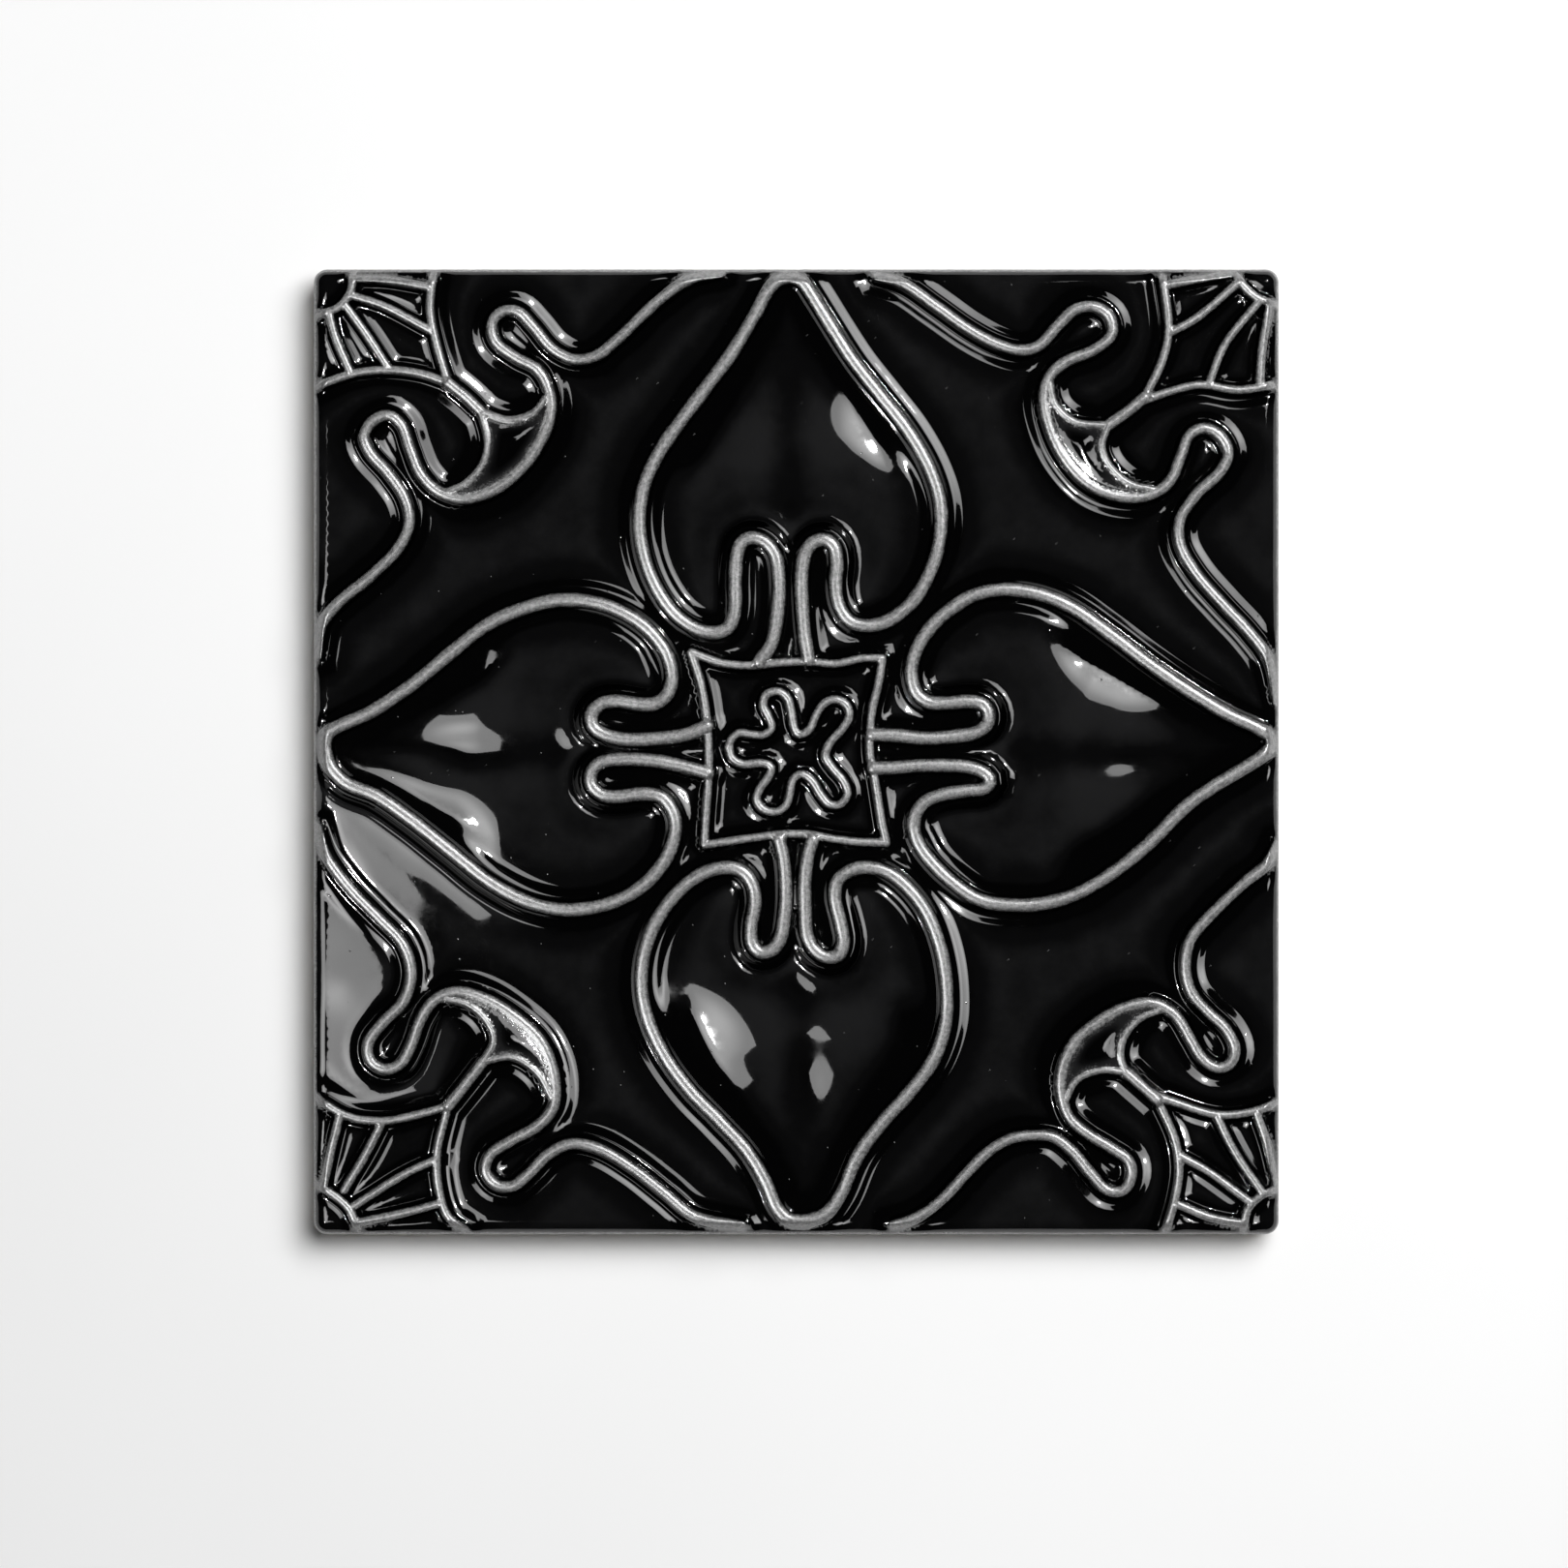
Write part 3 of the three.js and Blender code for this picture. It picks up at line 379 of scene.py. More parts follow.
# A corner has a scroll with a crescent outside its middle, a stalk, and a fan in the very corner.
CORNERS = [
    {
        "scroll_in": [
            (-15.7, 99.2), (-21.9, 97.7), (-28.9, 92.8), (-36.1, 85.9), (-41.5, 81.7), (-46, 81),
            (-50.4, 83.2), (-54.4, 87.8), (-57.6, 90.9), (-60.7, 90.9), (-62.8, 88.6), (-62.3, 84.9),
            (-58, 81.4), (-53.6, 79),
        ],
        "scroll_middle": [
            (-51.4, 75.4), (-50.7, 70.6), (-52.3, 65.1), (-56.3, 59), (-62.2, 54.2), (-68.9, 52.2),
            (-73.8, 53.6),
        ],
        "scroll_out": [
            (-77.6, 57.4), (-79.8, 62.6), (-81.6, 67.5), (-84.2, 69.5), (-87.5, 68.2), (-89.3, 65.2),
            (-88.2, 62), (-84.2, 57.4), (-80.9, 52.4), (-79.9, 47.5), (-82, 42.3), (-87.8, 36.3),
            (-94.6, 30.7), (-98, 26.3), (-99.4, 19.6),
        ],
        "rim_in": [(-51.4, 73.6), (-54.2, 70.1), (-59.2, 68.5), (-65.3, 70.4)],
        "rim_out": [(-72.6, 53.4), (-68.4, 55.4), (-64.9, 59.2), (-63.8, 64.2), (-65.3, 70.4)],
        "stalk": [(-65.3, 70.4), (-68.2, 73.2), (-71.9, 76.2)],
        "fan_arc": [(-71.9, 76.2), (-77.7, 78.1), (-84.7, 78.9), (-91.6, 78.1), (-99.7, 75.3)],
        "fan_side": [(-71.9, 76.2), (-74.3, 83.9), (-75.7, 91.5), (-75, 98.9)],
        "fan_ring": [(-91.6, 98.9), (-92.1, 95), (-94.6, 91.8), (-99.7, 90)],
        "rays": [
            [(-91.6, 97.9), (-84.8, 97.5), (-76, 96)],
            [(-92, 94.3), (-85.4, 92.2), (-75.5, 87)],
            [(-93.2, 92.2), (-89.4, 87), (-84.4, 79.4)],
            [(-96.6, 90.9), (-95.1, 85.3), (-92.2, 78.6)],
        ],
    },
    {
        "scroll_in": [
            (16.6, 98.4), (22.1, 96.6), (29, 91.9), (36, 87), (41.8, 84), (46.4, 82.9), (50, 83.8),
            (53.8, 87.8), (57.6, 91.3), (61.4, 91.9), (64.6, 89.9), (65.1, 86.2), (61.7, 83.1),
            (55.6, 80.5),
        ],
        "scroll_middle": [
            (52.2, 77.4), (51.1, 73), (52.1, 67.4), (55.1, 60.9), (60.2, 55.3), (66.6, 52.7),
            (72.7, 52.9),
        ],
        "scroll_out": [
            (77, 55.7), (79.4, 61), (81.2, 65.4), (84, 66.8), (87.2, 65.5), (89.2, 61.8), (87.7, 58.1),
            (82.5, 53), (79.2, 47.8), (79.2, 43), (82.4, 37.1), (88, 30.6), (93.7, 24.5), (97.6, 19),
            (99.7, 10.2),
        ],
        "rim_in": [(52.2, 76.9), (53.5, 71.6), (57.6, 68.1), (64.4, 67.4)],
        "rim_out": [(73.6, 54.2), (68.8, 55.4), (64.8, 58.9), (63.1, 63), (64.4, 67.4)],
        "stalk": [(64.4, 67.4), (68, 70), (72, 73.2)],
        "fan_arc": [(71.6, 72.5), (77.2, 74.4), (83.4, 75.8), (91.1, 74.7), (98.6, 75.8)],
        "fan_side": [(72, 73.2), (75.8, 81.4), (76.9, 87.5), (75.7, 98.2)],
        "fan_ring": [(90.7, 99.2), (92.5, 96.1), (95.5, 93.6), (99.6, 92.4)],
        "rays": [
            [(76.6, 96.4), (82.8, 97.6), (90.6, 99.2)],
            [(77.2, 86.6), (82.4, 89.4), (91.6, 97.2)],
            [(85.2, 76), (88.6, 84.2), (95.6, 93)],
            [(95.7, 75.2), (96.2, 83), (97.9, 92.6)],
        ],
    },
    {
        "scroll_in": [
            (20, -97.9), (24.8, -96.2), (30, -92.5), (35, -87.2), (39.6, -82.6), (44, -80),
            (48.6, -79.2), (53, -79.6), (57.2, -82.7), (61, -87.3), (64.4, -90.6), (67.4, -90.6),
            (69.1, -88), (68.7, -84.6), (64.9, -81.8), (60, -78.8),
        ],
        "scroll_middle": [
            (56.4, -75.5), (54.7, -70.5), (54.9, -65.5), (57.6, -59.7), (62.5, -55.6), (67.8, -52.8),
            (73.6, -51.9),
        ],
        "scroll_out": [
            (78.2, -54.4), (81.4, -59.4), (83.8, -63.3), (86.8, -65.3), (89.6, -64.4), (90.6, -61.5),
            (88.9, -57.6), (85, -53.8), (81.6, -49.8), (80.3, -44.6), (81.4, -38.8), (85.6, -33.7),
            (92, -27.5), (97.2, -23.2), (99.6, -19.2),
        ],
        "rim_in": [(55.6, -72), (57.8, -67.9), (62.8, -65.8), (68, -66.2)],
        "rim_out": [(75, -53.4), (71, -55.1), (67.8, -58.7), (67, -62.6), (68, -66.2)],
        "stalk": [(68, -66.2), (71.2, -69), (74.6, -72)],
        "fan_arc": [(68.8, -66.2), (73.4, -70.4), (79, -72.7), (87, -75), (94, -74.4), (99.6, -72.6)],
        "fan_side": [(74.6, -72), (78.2, -80.1), (79.1, -86.5), (78.2, -92.6), (76.4, -98.9)],
        "fan_ring": [(92.4, -98.9), (93.2, -94.7), (96, -91.7), (99.7, -90.4)],
        "rays": [
            [(86.9, -75.4), (90.7, -82.9), (96.2, -91)],
            [(95.1, -74.8), (97.3, -81.2), (99.4, -89.6)],
            [(79.1, -83.4), (85, -86.7), (93.6, -93)],
            [(78.2, -93.2), (85, -96), (92.6, -97.6)],
        ],
    },
    {
        "scroll_in": [
            (-99.2, -15.5), (-97.1, -21.4), (-92.3, -28.1), (-86.4, -34.2), (-81.2, -39.8),
            (-79.5, -45.6), (-80.9, -51.3), (-85.2, -55.8), (-88.3, -60.1), (-87.9, -63.8),
            (-85, -65.6), (-81.8, -64.5), (-79.6, -60.8), (-77.4, -55),
        ],
        "scroll_middle": [
            (-74.6, -51.2), (-70.1, -49.5), (-64.2, -51), (-57.9, -54.8), (-52.6, -60), (-49.9, -67.2),
            (-50.2, -73.4),
        ],
        "scroll_out": [
            (-53.5, -77.3), (-59, -80.4), (-63.3, -83.4), (-64.2, -86.6), (-62, -89.4), (-58.5, -89.7),
            (-54.8, -86.7), (-51.3, -83.2), (-46.5, -81), (-41, -81.9), (-34, -85.9), (-27.2, -91.2),
            (-21.6, -95.7), (-16.5, -97.2), (-11, -98),
        ],
        "rim_in": [(-73.4, -50.9), (-68, -52.1), (-64.1, -55.4), (-62.5, -59.6), (-64.6, -63.9)],
        "rim_out": [(-50.6, -71.4), (-53.3, -66.5), (-58.4, -63.1), (-64.6, -63.9)],
        "stalk": [(-64.6, -63.9), (-68, -68.3), (-71.9, -73.2)],
        "fan_arc": [(-71.9, -73.2), (-77.7, -74.8), (-84.7, -76.2), (-92, -75.5), (-99.6, -71.4)],
        "fan_side": [(-71.9, -73.2), (-74.2, -82.9), (-73.9, -90), (-71.8, -96.2), (-68.4, -98.8)],
        "fan_ring": [(-90.6, -98.6), (-92.4, -94.4), (-96.2, -91.1), (-100, -89)],
        "rays": [
            [(-94.3, -75.2), (-96.2, -83), (-97.8, -90.3)],
            [(-85.6, -76.6), (-88.8, -82.9), (-93.4, -90.6)],
            [(-74, -84), (-81.2, -87.4), (-91.6, -94)],
            [(-73.4, -93.2), (-80.5, -95.1), (-90.6, -97.3)],
        ],
    },
]


def smooth_line(points, step):
    """Points a step apart on a centripetal Catmull-Rom curve through the given ones, in metres."""
    control = np.array(points, float) * UNIT
    padded = np.vstack([2 * control[0] - control[1], control, 2 * control[-1] - control[-2]])
    gaps = np.sqrt(np.linalg.norm(np.diff(padded, axis=0), axis=1))
    knots = np.concatenate([[0], np.cumsum(gaps)])
    dense = [control[:1]]
    for i in range(1, len(padded) - 2):
        t = np.linspace(knots[i], knots[i + 1], CURVE_STEPS + 1)[1:, None]
        p0, p1, p2, p3 = padded[i - 1:i + 3]
        t0, t1, t2, t3 = knots[i - 1:i + 3]
        a1 = (t1 - t) / (t1 - t0) * p0 + (t - t0) / (t1 - t0) * p1
        a2 = (t2 - t) / (t2 - t1) * p1 + (t - t1) / (t2 - t1) * p2
        a3 = (t3 - t) / (t3 - t2) * p2 + (t - t2) / (t3 - t2) * p3
        b1 = (t2 - t) / (t2 - t0) * a1 + (t - t0) / (t2 - t0) * a2
        b2 = (t3 - t) / (t3 - t1) * a2 + (t - t1) / (t3 - t1) * a3
        dense.append((t2 - t) / (t2 - t1) * b1 + (t - t1) / (t2 - t1) * b2)
    dense = np.vstack(dense)
    along = np.concatenate([[0], np.cumsum(np.linalg.norm(np.diff(dense, axis=0), axis=1))])
    spots = np.linspace(0, along[-1], max(2, int(round(along[-1] / step)) + 1))
    return np.column_stack([np.interp(spots, along, dense[:, k]) for k in (0, 1)])


class LineFamily:
    """Raised lines of one section, with quick distances to them."""

    def __init__(self, paths, section):
        self.width, self.rise = section
        self.paths = paths
        fine = [smooth_line(path, FINE_STEP) for path in paths]
        self.samples = np.vstack(fine)
        ends = np.cumsum([len(line) for line in fine])
        self.has_next = np.ones(len(self.samples), bool)
        self.has_next[ends - 1] = False
        self.tree = KDTree(len(self.samples))
        for index, (x, y) in enumerate(self.samples.tolist()):
            self.tree.insert((x, y, 0), index)
        self.tree.balance()

    def distances(self, points):
        """Distance of every point to the nearest line."""
        nearest = np.array([self.tree.find((x, y, 0))[1] for x, y in points.tolist()])
        after = np.where(self.has_next[nearest], nearest + 1, nearest)
        before = np.where(self.has_next[nearest - 1] & (nearest > 0), nearest - 1, nearest)
        result = np.linalg.norm(points - self.samples[nearest], axis=1)
        for other in (before, after):
            edge = self.samples[other] - self.samples[nearest]
            offset = points - self.samples[nearest]
            length = np.maximum((edge * edge).sum(1), TINY ** 2)
            share = np.clip((offset * edge).sum(1) / length, 0, 1)
            result = np.minimum(result, np.linalg.norm(offset - share[:, None] * edge, axis=1))
        return result


def line_families():
    """All raised lines, by section: petals, scrolls, rims of the crescents and fine lines."""
    petals = [half["stem"] + half["lobe"] for petal in PETALS for half in petal["halves"]]
    scrolls = []
    rims = []
    fine = SQUARE + [FLOWER + FLOWER[:1]]
    for corner in CORNERS:
        scrolls.append(corner["scroll_in"] + corner["scroll_middle"] + corner["scroll_out"])
        scrolls.append(corner["stalk"])
        rims += [corner["rim_in"], corner["rim_out"]]
        fine += [corner["fan_arc"], corner["fan_side"], corner["fan_ring"]] + corner["rays"]
    sections = [(petals, PETAL_LINE), (scrolls, SCROLL_LINE), (rims, RIM_LINE), (fine, FINE_LINE)]
    return [LineFamily(paths, section) for paths, section in sections]


def inside(points, outline):
    """True for points inside a closed outline."""
    x, y = points[:, 0], points[:, 1]
    result = np.zeros(len(points), bool)
    previous = outline[-1]
    for corner in outline:
        crosses = (corner[1] > y) != (previous[1] > y)
        rise = previous[1] - corner[1]
        if abs(rise) > TINY:
            at = corner[0] + (y - corner[1]) * (previous[0] - corner[0]) / rise
            result ^= crosses & (x < at)
        previous = corner
    return result


def edge_distance(points):
    """How far inside the tile's rounded square outline each point lies."""
    bend = np.abs(points) - (HALF - CORNER_RADIUS)
    outside = np.linalg.norm(np.maximum(bend, 0), axis=1)
    return CORNER_RADIUS - outside - np.minimum(np.maximum(bend[:, 0], bend[:, 1]), 0)


def smoothstep(value):
    """Smooth run from 0 to 1 as the value goes from 0 to 1."""
    value = np.clip(value, 0, 1)
    return value * value * (3 - 2 * value)


def ground(gap, step, swell):
    """Height of the ground at a distance from the line's foot: flat groove, short step up, then a pillow."""
    step_height, step_reach = step
    height, reach = swell
    climb = step_height * smoothstep((gap - GROOVE_FLAT) / (step_reach - GROOVE_FLAT))
    share = np.clip((gap - GROOVE_FLAT / 2) / reach, 0, 1)
    return climb + height * (1 - (1 - share) ** 2)


def line_shape(points):
    """Distance beyond the nearest line's foot, the lines' height, and how near to a crest each point is."""
    gap = np.full(len(points), np.inf)
    ridge = np.zeros(len(points))
    crest = np.zeros(len(points))
    for family in FAMILIES:
        distance = family.distances(points)
        gap = np.minimum(gap, distance - family.width / 2)
        across = np.minimum(distance / (family.width / 2), 1)
        fall = CREST_CURVE * across ** 2 + (1 - CREST_CURVE) * across ** FLANK_POWER
        ridge = np.maximum(ridge, family.rise * (1 - fall))
        crest = np.maximum(crest, 1 - across ** 2)
    return np.maximum(gap, 0), ridge, crest


def petal_outline(petal):
    """The closed outline along a petal's two lines."""
    first, second = (smooth_line(half["stem"] + half["lobe"], LINE_STEP) for half in petal["halves"])
    return np.vstack([first, second[::-1]])


def petal_shape(points, gap, petal):
    """Where a petal lies, and its two-lobed height there, which falls to the hooks and sinks to the tip."""
    within = inside(points, petal_outline(petal))
    axis = LineFamily([petal["axis"]], PETAL_LINE)
    start, end = axis.samples[0], axis.samples[-1]
    length = np.linalg.norm(end - start)
    along = (points - start) @ (end - start) / length ** 2
    hook_paths = [half["stem"] + half["lobe"][:HOOK_POINTS + 1] for half in petal["halves"]]
    hooks = LineFamily(hook_paths, PETAL_LINE)
    half_width = PETAL_LINE[0] / 2
    side_gaps = []
    for half in petal["halves"]:
        outer = LineFamily([half["lobe"][HOOK_POINTS:]], PETAL_LINE)
        side_gaps.append(np.maximum(outer.distances(points) - half_width, 0))
    second_half = smoothstep((side_gaps[0] - side_gaps[1]) / VALLEY_WIDTH + 0.5)
    from_heel = np.zeros(len(points))
    tip_fade = np.zeros(len(points))
    for weight, (belly_start, belly_end) in zip((1 - second_half, second_half), petal["bellies"]):
        from_heel += weight * smoothstep((along - belly_start) / HEEL_BLEND + 0.5)
        tip_fade += weight * smoothstep((belly_end - along) / TIP_BLEND + 0.5)
    outer_gap = np.minimum(*side_gaps)
    axis_gap = axis.distances(points)
    span = outer_gap + axis_gap
    share = outer_gap / span
    crown = np.minimum(PETAL_FULLNESS * span, PETAL_CROWN)
    heel = ground(outer_gap, PETAL_STEP, (0, span)) + HEEL_SHARE * crown * (1 - (1 - share) ** 2)
    pool = petal["pool"]
    toward_tip = crown * (1 - (1 - np.clip((share - pool) / (CROWN_PLACE - pool), 0, 1)) ** 2)
    toward_tip *= TIP_SHARE + (1 - TIP_SHARE) * tip_fade
    dome = heel * (1 - from_heel) + (toward_tip + POOL_DEPTH) * from_heel
    share = np.clip((hooks.distances(points) - half_width - GROOVE_FLAT) / HOOK_REACH, 0, 1)
    extra_depth, place = petal["valley"]
    depth = VALLEY_DEPTH + extra_depth * np.exp(-((along - place) / VALLEY_REACH) ** 2)
    depth *= smoothstep((along - VALLEY_START[0]) / VALLEY_START[1])
    depth *= smoothstep((VALLEY_END[0] - along) / VALLEY_END[1])
    valley = depth * np.exp(-(axis_gap / VALLEY_WIDTH) ** 2) * smoothstep(gap / VALLEY_FADE)
    return within, dome * (1 - (1 - share) ** HOOK_POWER) - valley


def swell_heights(points):
    """Height of the ground, petals and crescents above the grooves, and where a crescent lies."""
    gap = line_shape(points)[0]
    height = ground(gap, FIELD_STEP, FIELD_SWELL)
    crescents = np.zeros(len(points), bool)
    for petal in PETALS:
        within, dome = petal_shape(points, gap, petal)
        height = np.where(within, dome, height)
    for corner in CORNERS:
        middle = smooth_line(corner["scroll_middle"], LINE_STEP)
        rim_in = smooth_line(corner["rim_in"], LINE_STEP)
        rim_out = smooth_line(corner["rim_out"], LINE_STEP)
        within = inside(points, np.vstack([middle, rim_out, rim_in[::-1]]))
        depth, reach = CRESCENT_DISH
        dish = depth * smoothstep(gap / reach)
        height = np.where(within, CRESCENT_RIM - dish, height)
        crescents |= within
        arc = smooth_line(corner["fan_arc"], LINE_STEP)
        side = smooth_line(corner["fan_side"], LINE_STEP)
        tile_corner = np.sign(arc[-1] + side[-1]) * HALF
        outline = np.vstack([arc, [tile_corner], side[::-1]])
        height = np.where(inside(points, outline), ground(gap, FAN_STEP, FAN_SWELL), height)
    square = np.vstack([smooth_line(side, LINE_STEP) for side in SQUARE])
    height = np.where(inside(points, square), ground(gap, SQUARE_STEP, SQUARE_SWELL), height)
    return height + margin_lean(points, gap), crescents


def margin_lean(points, gap):
    """How the ground by the left side leans outward, and banks up against the left petal's lower line."""
    x, y = points[:, 0] / UNIT, points[:, 1] / UNIT
    band = smoothstep((LEAN_RIGHT[0] - x) / LEAN_RIGHT[1])
    band *= smoothstep((LEAN_TOP[0] - y) / LEAN_TOP[1])
    band *= smoothstep((y - LEAN_BOTTOM[0]) / LEAN_BOTTOM[1])
    pocket = smoothstep((POCKET_EDGE[0] - x + POCKET_EDGE[1] * y) / POCKET_FADE + 1)
    lean = LEAN * (x - LEAN_AXIS) * UNIT * band * pocket
    away = np.hypot(x - HUMP_PLACE[0], y - HUMP_PLACE[1]) / HUMP_REACH
    lean += HUMP_HEIGHT * np.exp(-away ** 2)
    lower_half = PETALS[LEFT_PETAL]["halves"][1]
    lower_line = LineFamily([lower_half["lobe"][HOOK_POINTS:]], PETAL_LINE)
    from_line = lower_line.distances(points) - PETAL_LINE[0] / 2
    bank = BANK_HEIGHT * np.exp(-np.maximum(from_line, 0) / BANK_WIDTH)
    bank *= smoothstep((BANK_RIGHT[0] - x) / BANK_RIGHT[1])
    petal = inside(points, petal_outline(PETALS[LEFT_PETAL]))
    lean *= smoothstep((gap - GROOVE_FLAT) / LEAN_FADE)
    bank *= smoothstep((gap - GROOVE_FLAT) / BANK_FADE)
    return np.where(petal, 0, lean + bank)


def softened(grid, softness):
    """A map smoothed by a bell curve."""
    reach = int(3 * softness / MAP_STEP)
    offsets = np.arange(-reach, reach + 1) * MAP_STEP
    weights = np.exp(-0.5 * (offsets / softness) ** 2)
    weights /= weights.sum()
    for axis in (0, 1):
        padded = np.pad(grid, [(reach, reach) if k == axis else (0, 0) for k in (0, 1)], mode="edge")
        grid = np.apply_along_axis(np.convolve, axis, padded, weights, mode="valid")
    return grid


def ground_maps():
    """Regular maps of the tile: softened ground height, how far it bulges, and the crescents."""
    count = int(round(2 * HALF / MAP_STEP)) + 1
    spots = np.linspace(-HALF, HALF, count)
    x, y = np.meshgrid(spots, spots, indexing="ij")
    heights, crescents = swell_heights(np.column_stack([x.ravel(), y.ravel()]))
    height = softened(heights.reshape(count, count), SWELL_SOFTNESS)
    bulge = height - softened(height, POOL_SOFTNESS)
    return height, bulge, softened(crescents.reshape(count, count).astype(float), SWELL_SOFTNESS)


def read_map(grid, points):
    """Smooth cubic reading of the map at any points."""
    count = grid.shape[0]
    place = (points + HALF) / (2 * HALF) * (count - 1)
    cell = np.clip(np.floor(place).astype(int), 1, count - 3)
    share = place - cell
    result = np.zeros(len(points))

    def weights(t):
        return [
            (1 - t) ** 3 / 6,
            (3 * t ** 3 - 6 * t ** 2 + 4) / 6,
            (-3 * t ** 3 + 3 * t ** 2 + 3 * t + 1) / 6,
            t ** 3 / 6,
        ]

    along_x = weights(share[:, 0])
    along_y = weights(share[:, 1])
    for i in range(4):
        for j in range(4):
            result += along_x[i] * along_y[j] * grid[cell[:, 0] + i - 1, cell[:, 1] + j - 1]
    return result


def face_points():
    """Points of the glazed face: rows that follow every line, rows along the edge, and a grid in between."""
    rows = []
    for family in FAMILIES:
        half = family.width / 2
        offsets = [share * half for share in ACROSS_LINE] + [half + gap for gap in BESIDE_LINE]
        lines = [smooth_line(path, LINE_STEP) for path in family.paths]
        for offset in offsets:
            for line in lines:
                direction = np.gradient(line, axis=0)
                direction /= np.linalg.norm(direction, axis=1)[:, None]
                across = np.column_stack([-direction[:, 1], direction[:, 0]])
                for side in ((1,) if offset == 0 else (1, -1)):
                    row = line + across * offset * side
                    rows.append(row[family.distances(row) > offset * ROW_CLEARANCE])
    for inset in EDGE_ROWS[1:]:
        rows.append(outline_ring(inset))
    spots = np.arange(-HALF + 2 * GRID_STEP, HALF - 2 * GRID_STEP, GRID_STEP)
    x, y = np.meshgrid(spots, spots, indexing="ij")
    x[:, ::2] += GRID_STEP / 2
    grid = np.column_stack([x.ravel(), y.ravel()])
    grid = grid[line_shape(grid)[0] > BESIDE_LINE[-1]]
    points = np.vstack(rows + [grid])
    return thinned(points[edge_distance(points) > EDGE_ROWS[1] * EDGE_CLEARANCE])


def thinned(points):
    """Drops points that lie closer than the least spacing to an earlier one."""
    cells = {}
    kept = []
    keys = np.floor(points / LEAST_SPACING).astype(int)
    for index, (i, j) in enumerate(keys.tolist()):
        x, y = points[index]
        clear = True
        for a in (i - 1, i, i + 1):
            for b in (j - 1, j, j + 1):
                for other in cells.get((a, b), ()):
                    if (points[other][0] - x) ** 2 + (points[other][1] - y) ** 2 < LEAST_SPACING ** 2:
                        clear = False
        if clear:
            cells.setdefault((i, j), []).append(index)
            kept.append(index)
    return points[kept]


def outline_ring(inset):
    """The tile's outline, moved in by inset, as evenly spaced points that run counterclockwise."""
    radius = max(CORNER_RADIUS - inset, LEAST_RADIUS)
    reach = HALF - inset - radius

    def on_corner(turn, angle):
        centre = np.array([math.cos(turn) - math.sin(turn), math.sin(turn) + math.cos(turn)]) * reach
        return centre + radius * np.array([math.cos(angle), math.sin(angle)])

    ring = []
    for quarter in range(4):
        turn = quarter * math.pi / 2
        following = turn + math.pi / 2
        for angle in np.linspace(turn, following, CORNER_STEPS + 1):
            ring.append(on_corner(turn, angle))
        start = ring[-1]
        end = on_corner(following, following)
        for share in np.linspace(0, 1, SIDE_STEPS + 1)[1:-1]:
            ring.append(start + (end - start) * share)
    return np.array(ring)


def face_shape(points, maps):
    """Height of the glazed face, how thin the glaze lies from 0 to 1 with painted reflection on the rim, and
    how far the ground bulges.
    """
    heights, bulges, crescents = maps
    gap, ridge, crest = line_shape(points)
    depth = edge_distance(points)
    inset = np.clip(FACE_ROUNDING - depth, 0, FACE_ROUNDING)
    drop = FACE_ROUNDING - np.sqrt(np.maximum(FACE_ROUNDING ** 2 - inset ** 2, 0))
    swell = read_map(heights, points)
    higher = np.where(crest > 0, np.maximum(ridge, swell), swell)
    lower = np.maximum(np.minimum(ridge, swell), 0)
    relief = higher + FILLET_SHARE * lower * (1 - higher / TOP_RISE)
    # Painted reflection: the rim's grey stands partly for the rounded edge mirroring the lights, and it is
    # painted stronger toward the top left.
    rim = 1 - smoothstep((depth - RIM_START) / RIM_REACH)
    rim *= RIM_THIN_GLAZE_AND_REFLECTION + RIM_PAINTED_REFLECTION_TILT * (points[:, 1] - points[:, 0]) / (4 * HALF)
    dished = read_map(crescents, points)
    dish_edge = DISH_THINNESS * dished * (1 - smoothstep(gap / DISH_REACH))
    thin = np.maximum.reduce([crest, rim, dish_edge])
    open_ground = smoothstep(gap / POOL_REACH) - 0.5
    bulge = read_map(bulges, points) / BULGE_RANGE + open_ground - DISH_SINK * dished
    bulge = np.clip(bulge, -1, 1)
    return GROUND_HEIGHT - drop + relief * smoothstep(depth / EDGE_FADE), thin, bulge


def face_normals(points, maps):
    """Upright directions of the glazed face, from its heights a little to each side."""
    slopes = []
    for shift in ((SLOPE_SPAN, 0), (0, SLOPE_SPAN)):
        ahead = face_shape(points + shift, maps)[0]
        behind = face_shape(points - shift, maps)[0]
        slopes.append((ahead - behind) / (2 * SLOPE_SPAN))
    normals = np.column_stack([-slopes[0], -slopes[1], np.ones(len(points))])
    return normals / np.linalg.norm(normals, axis=1)[:, None]


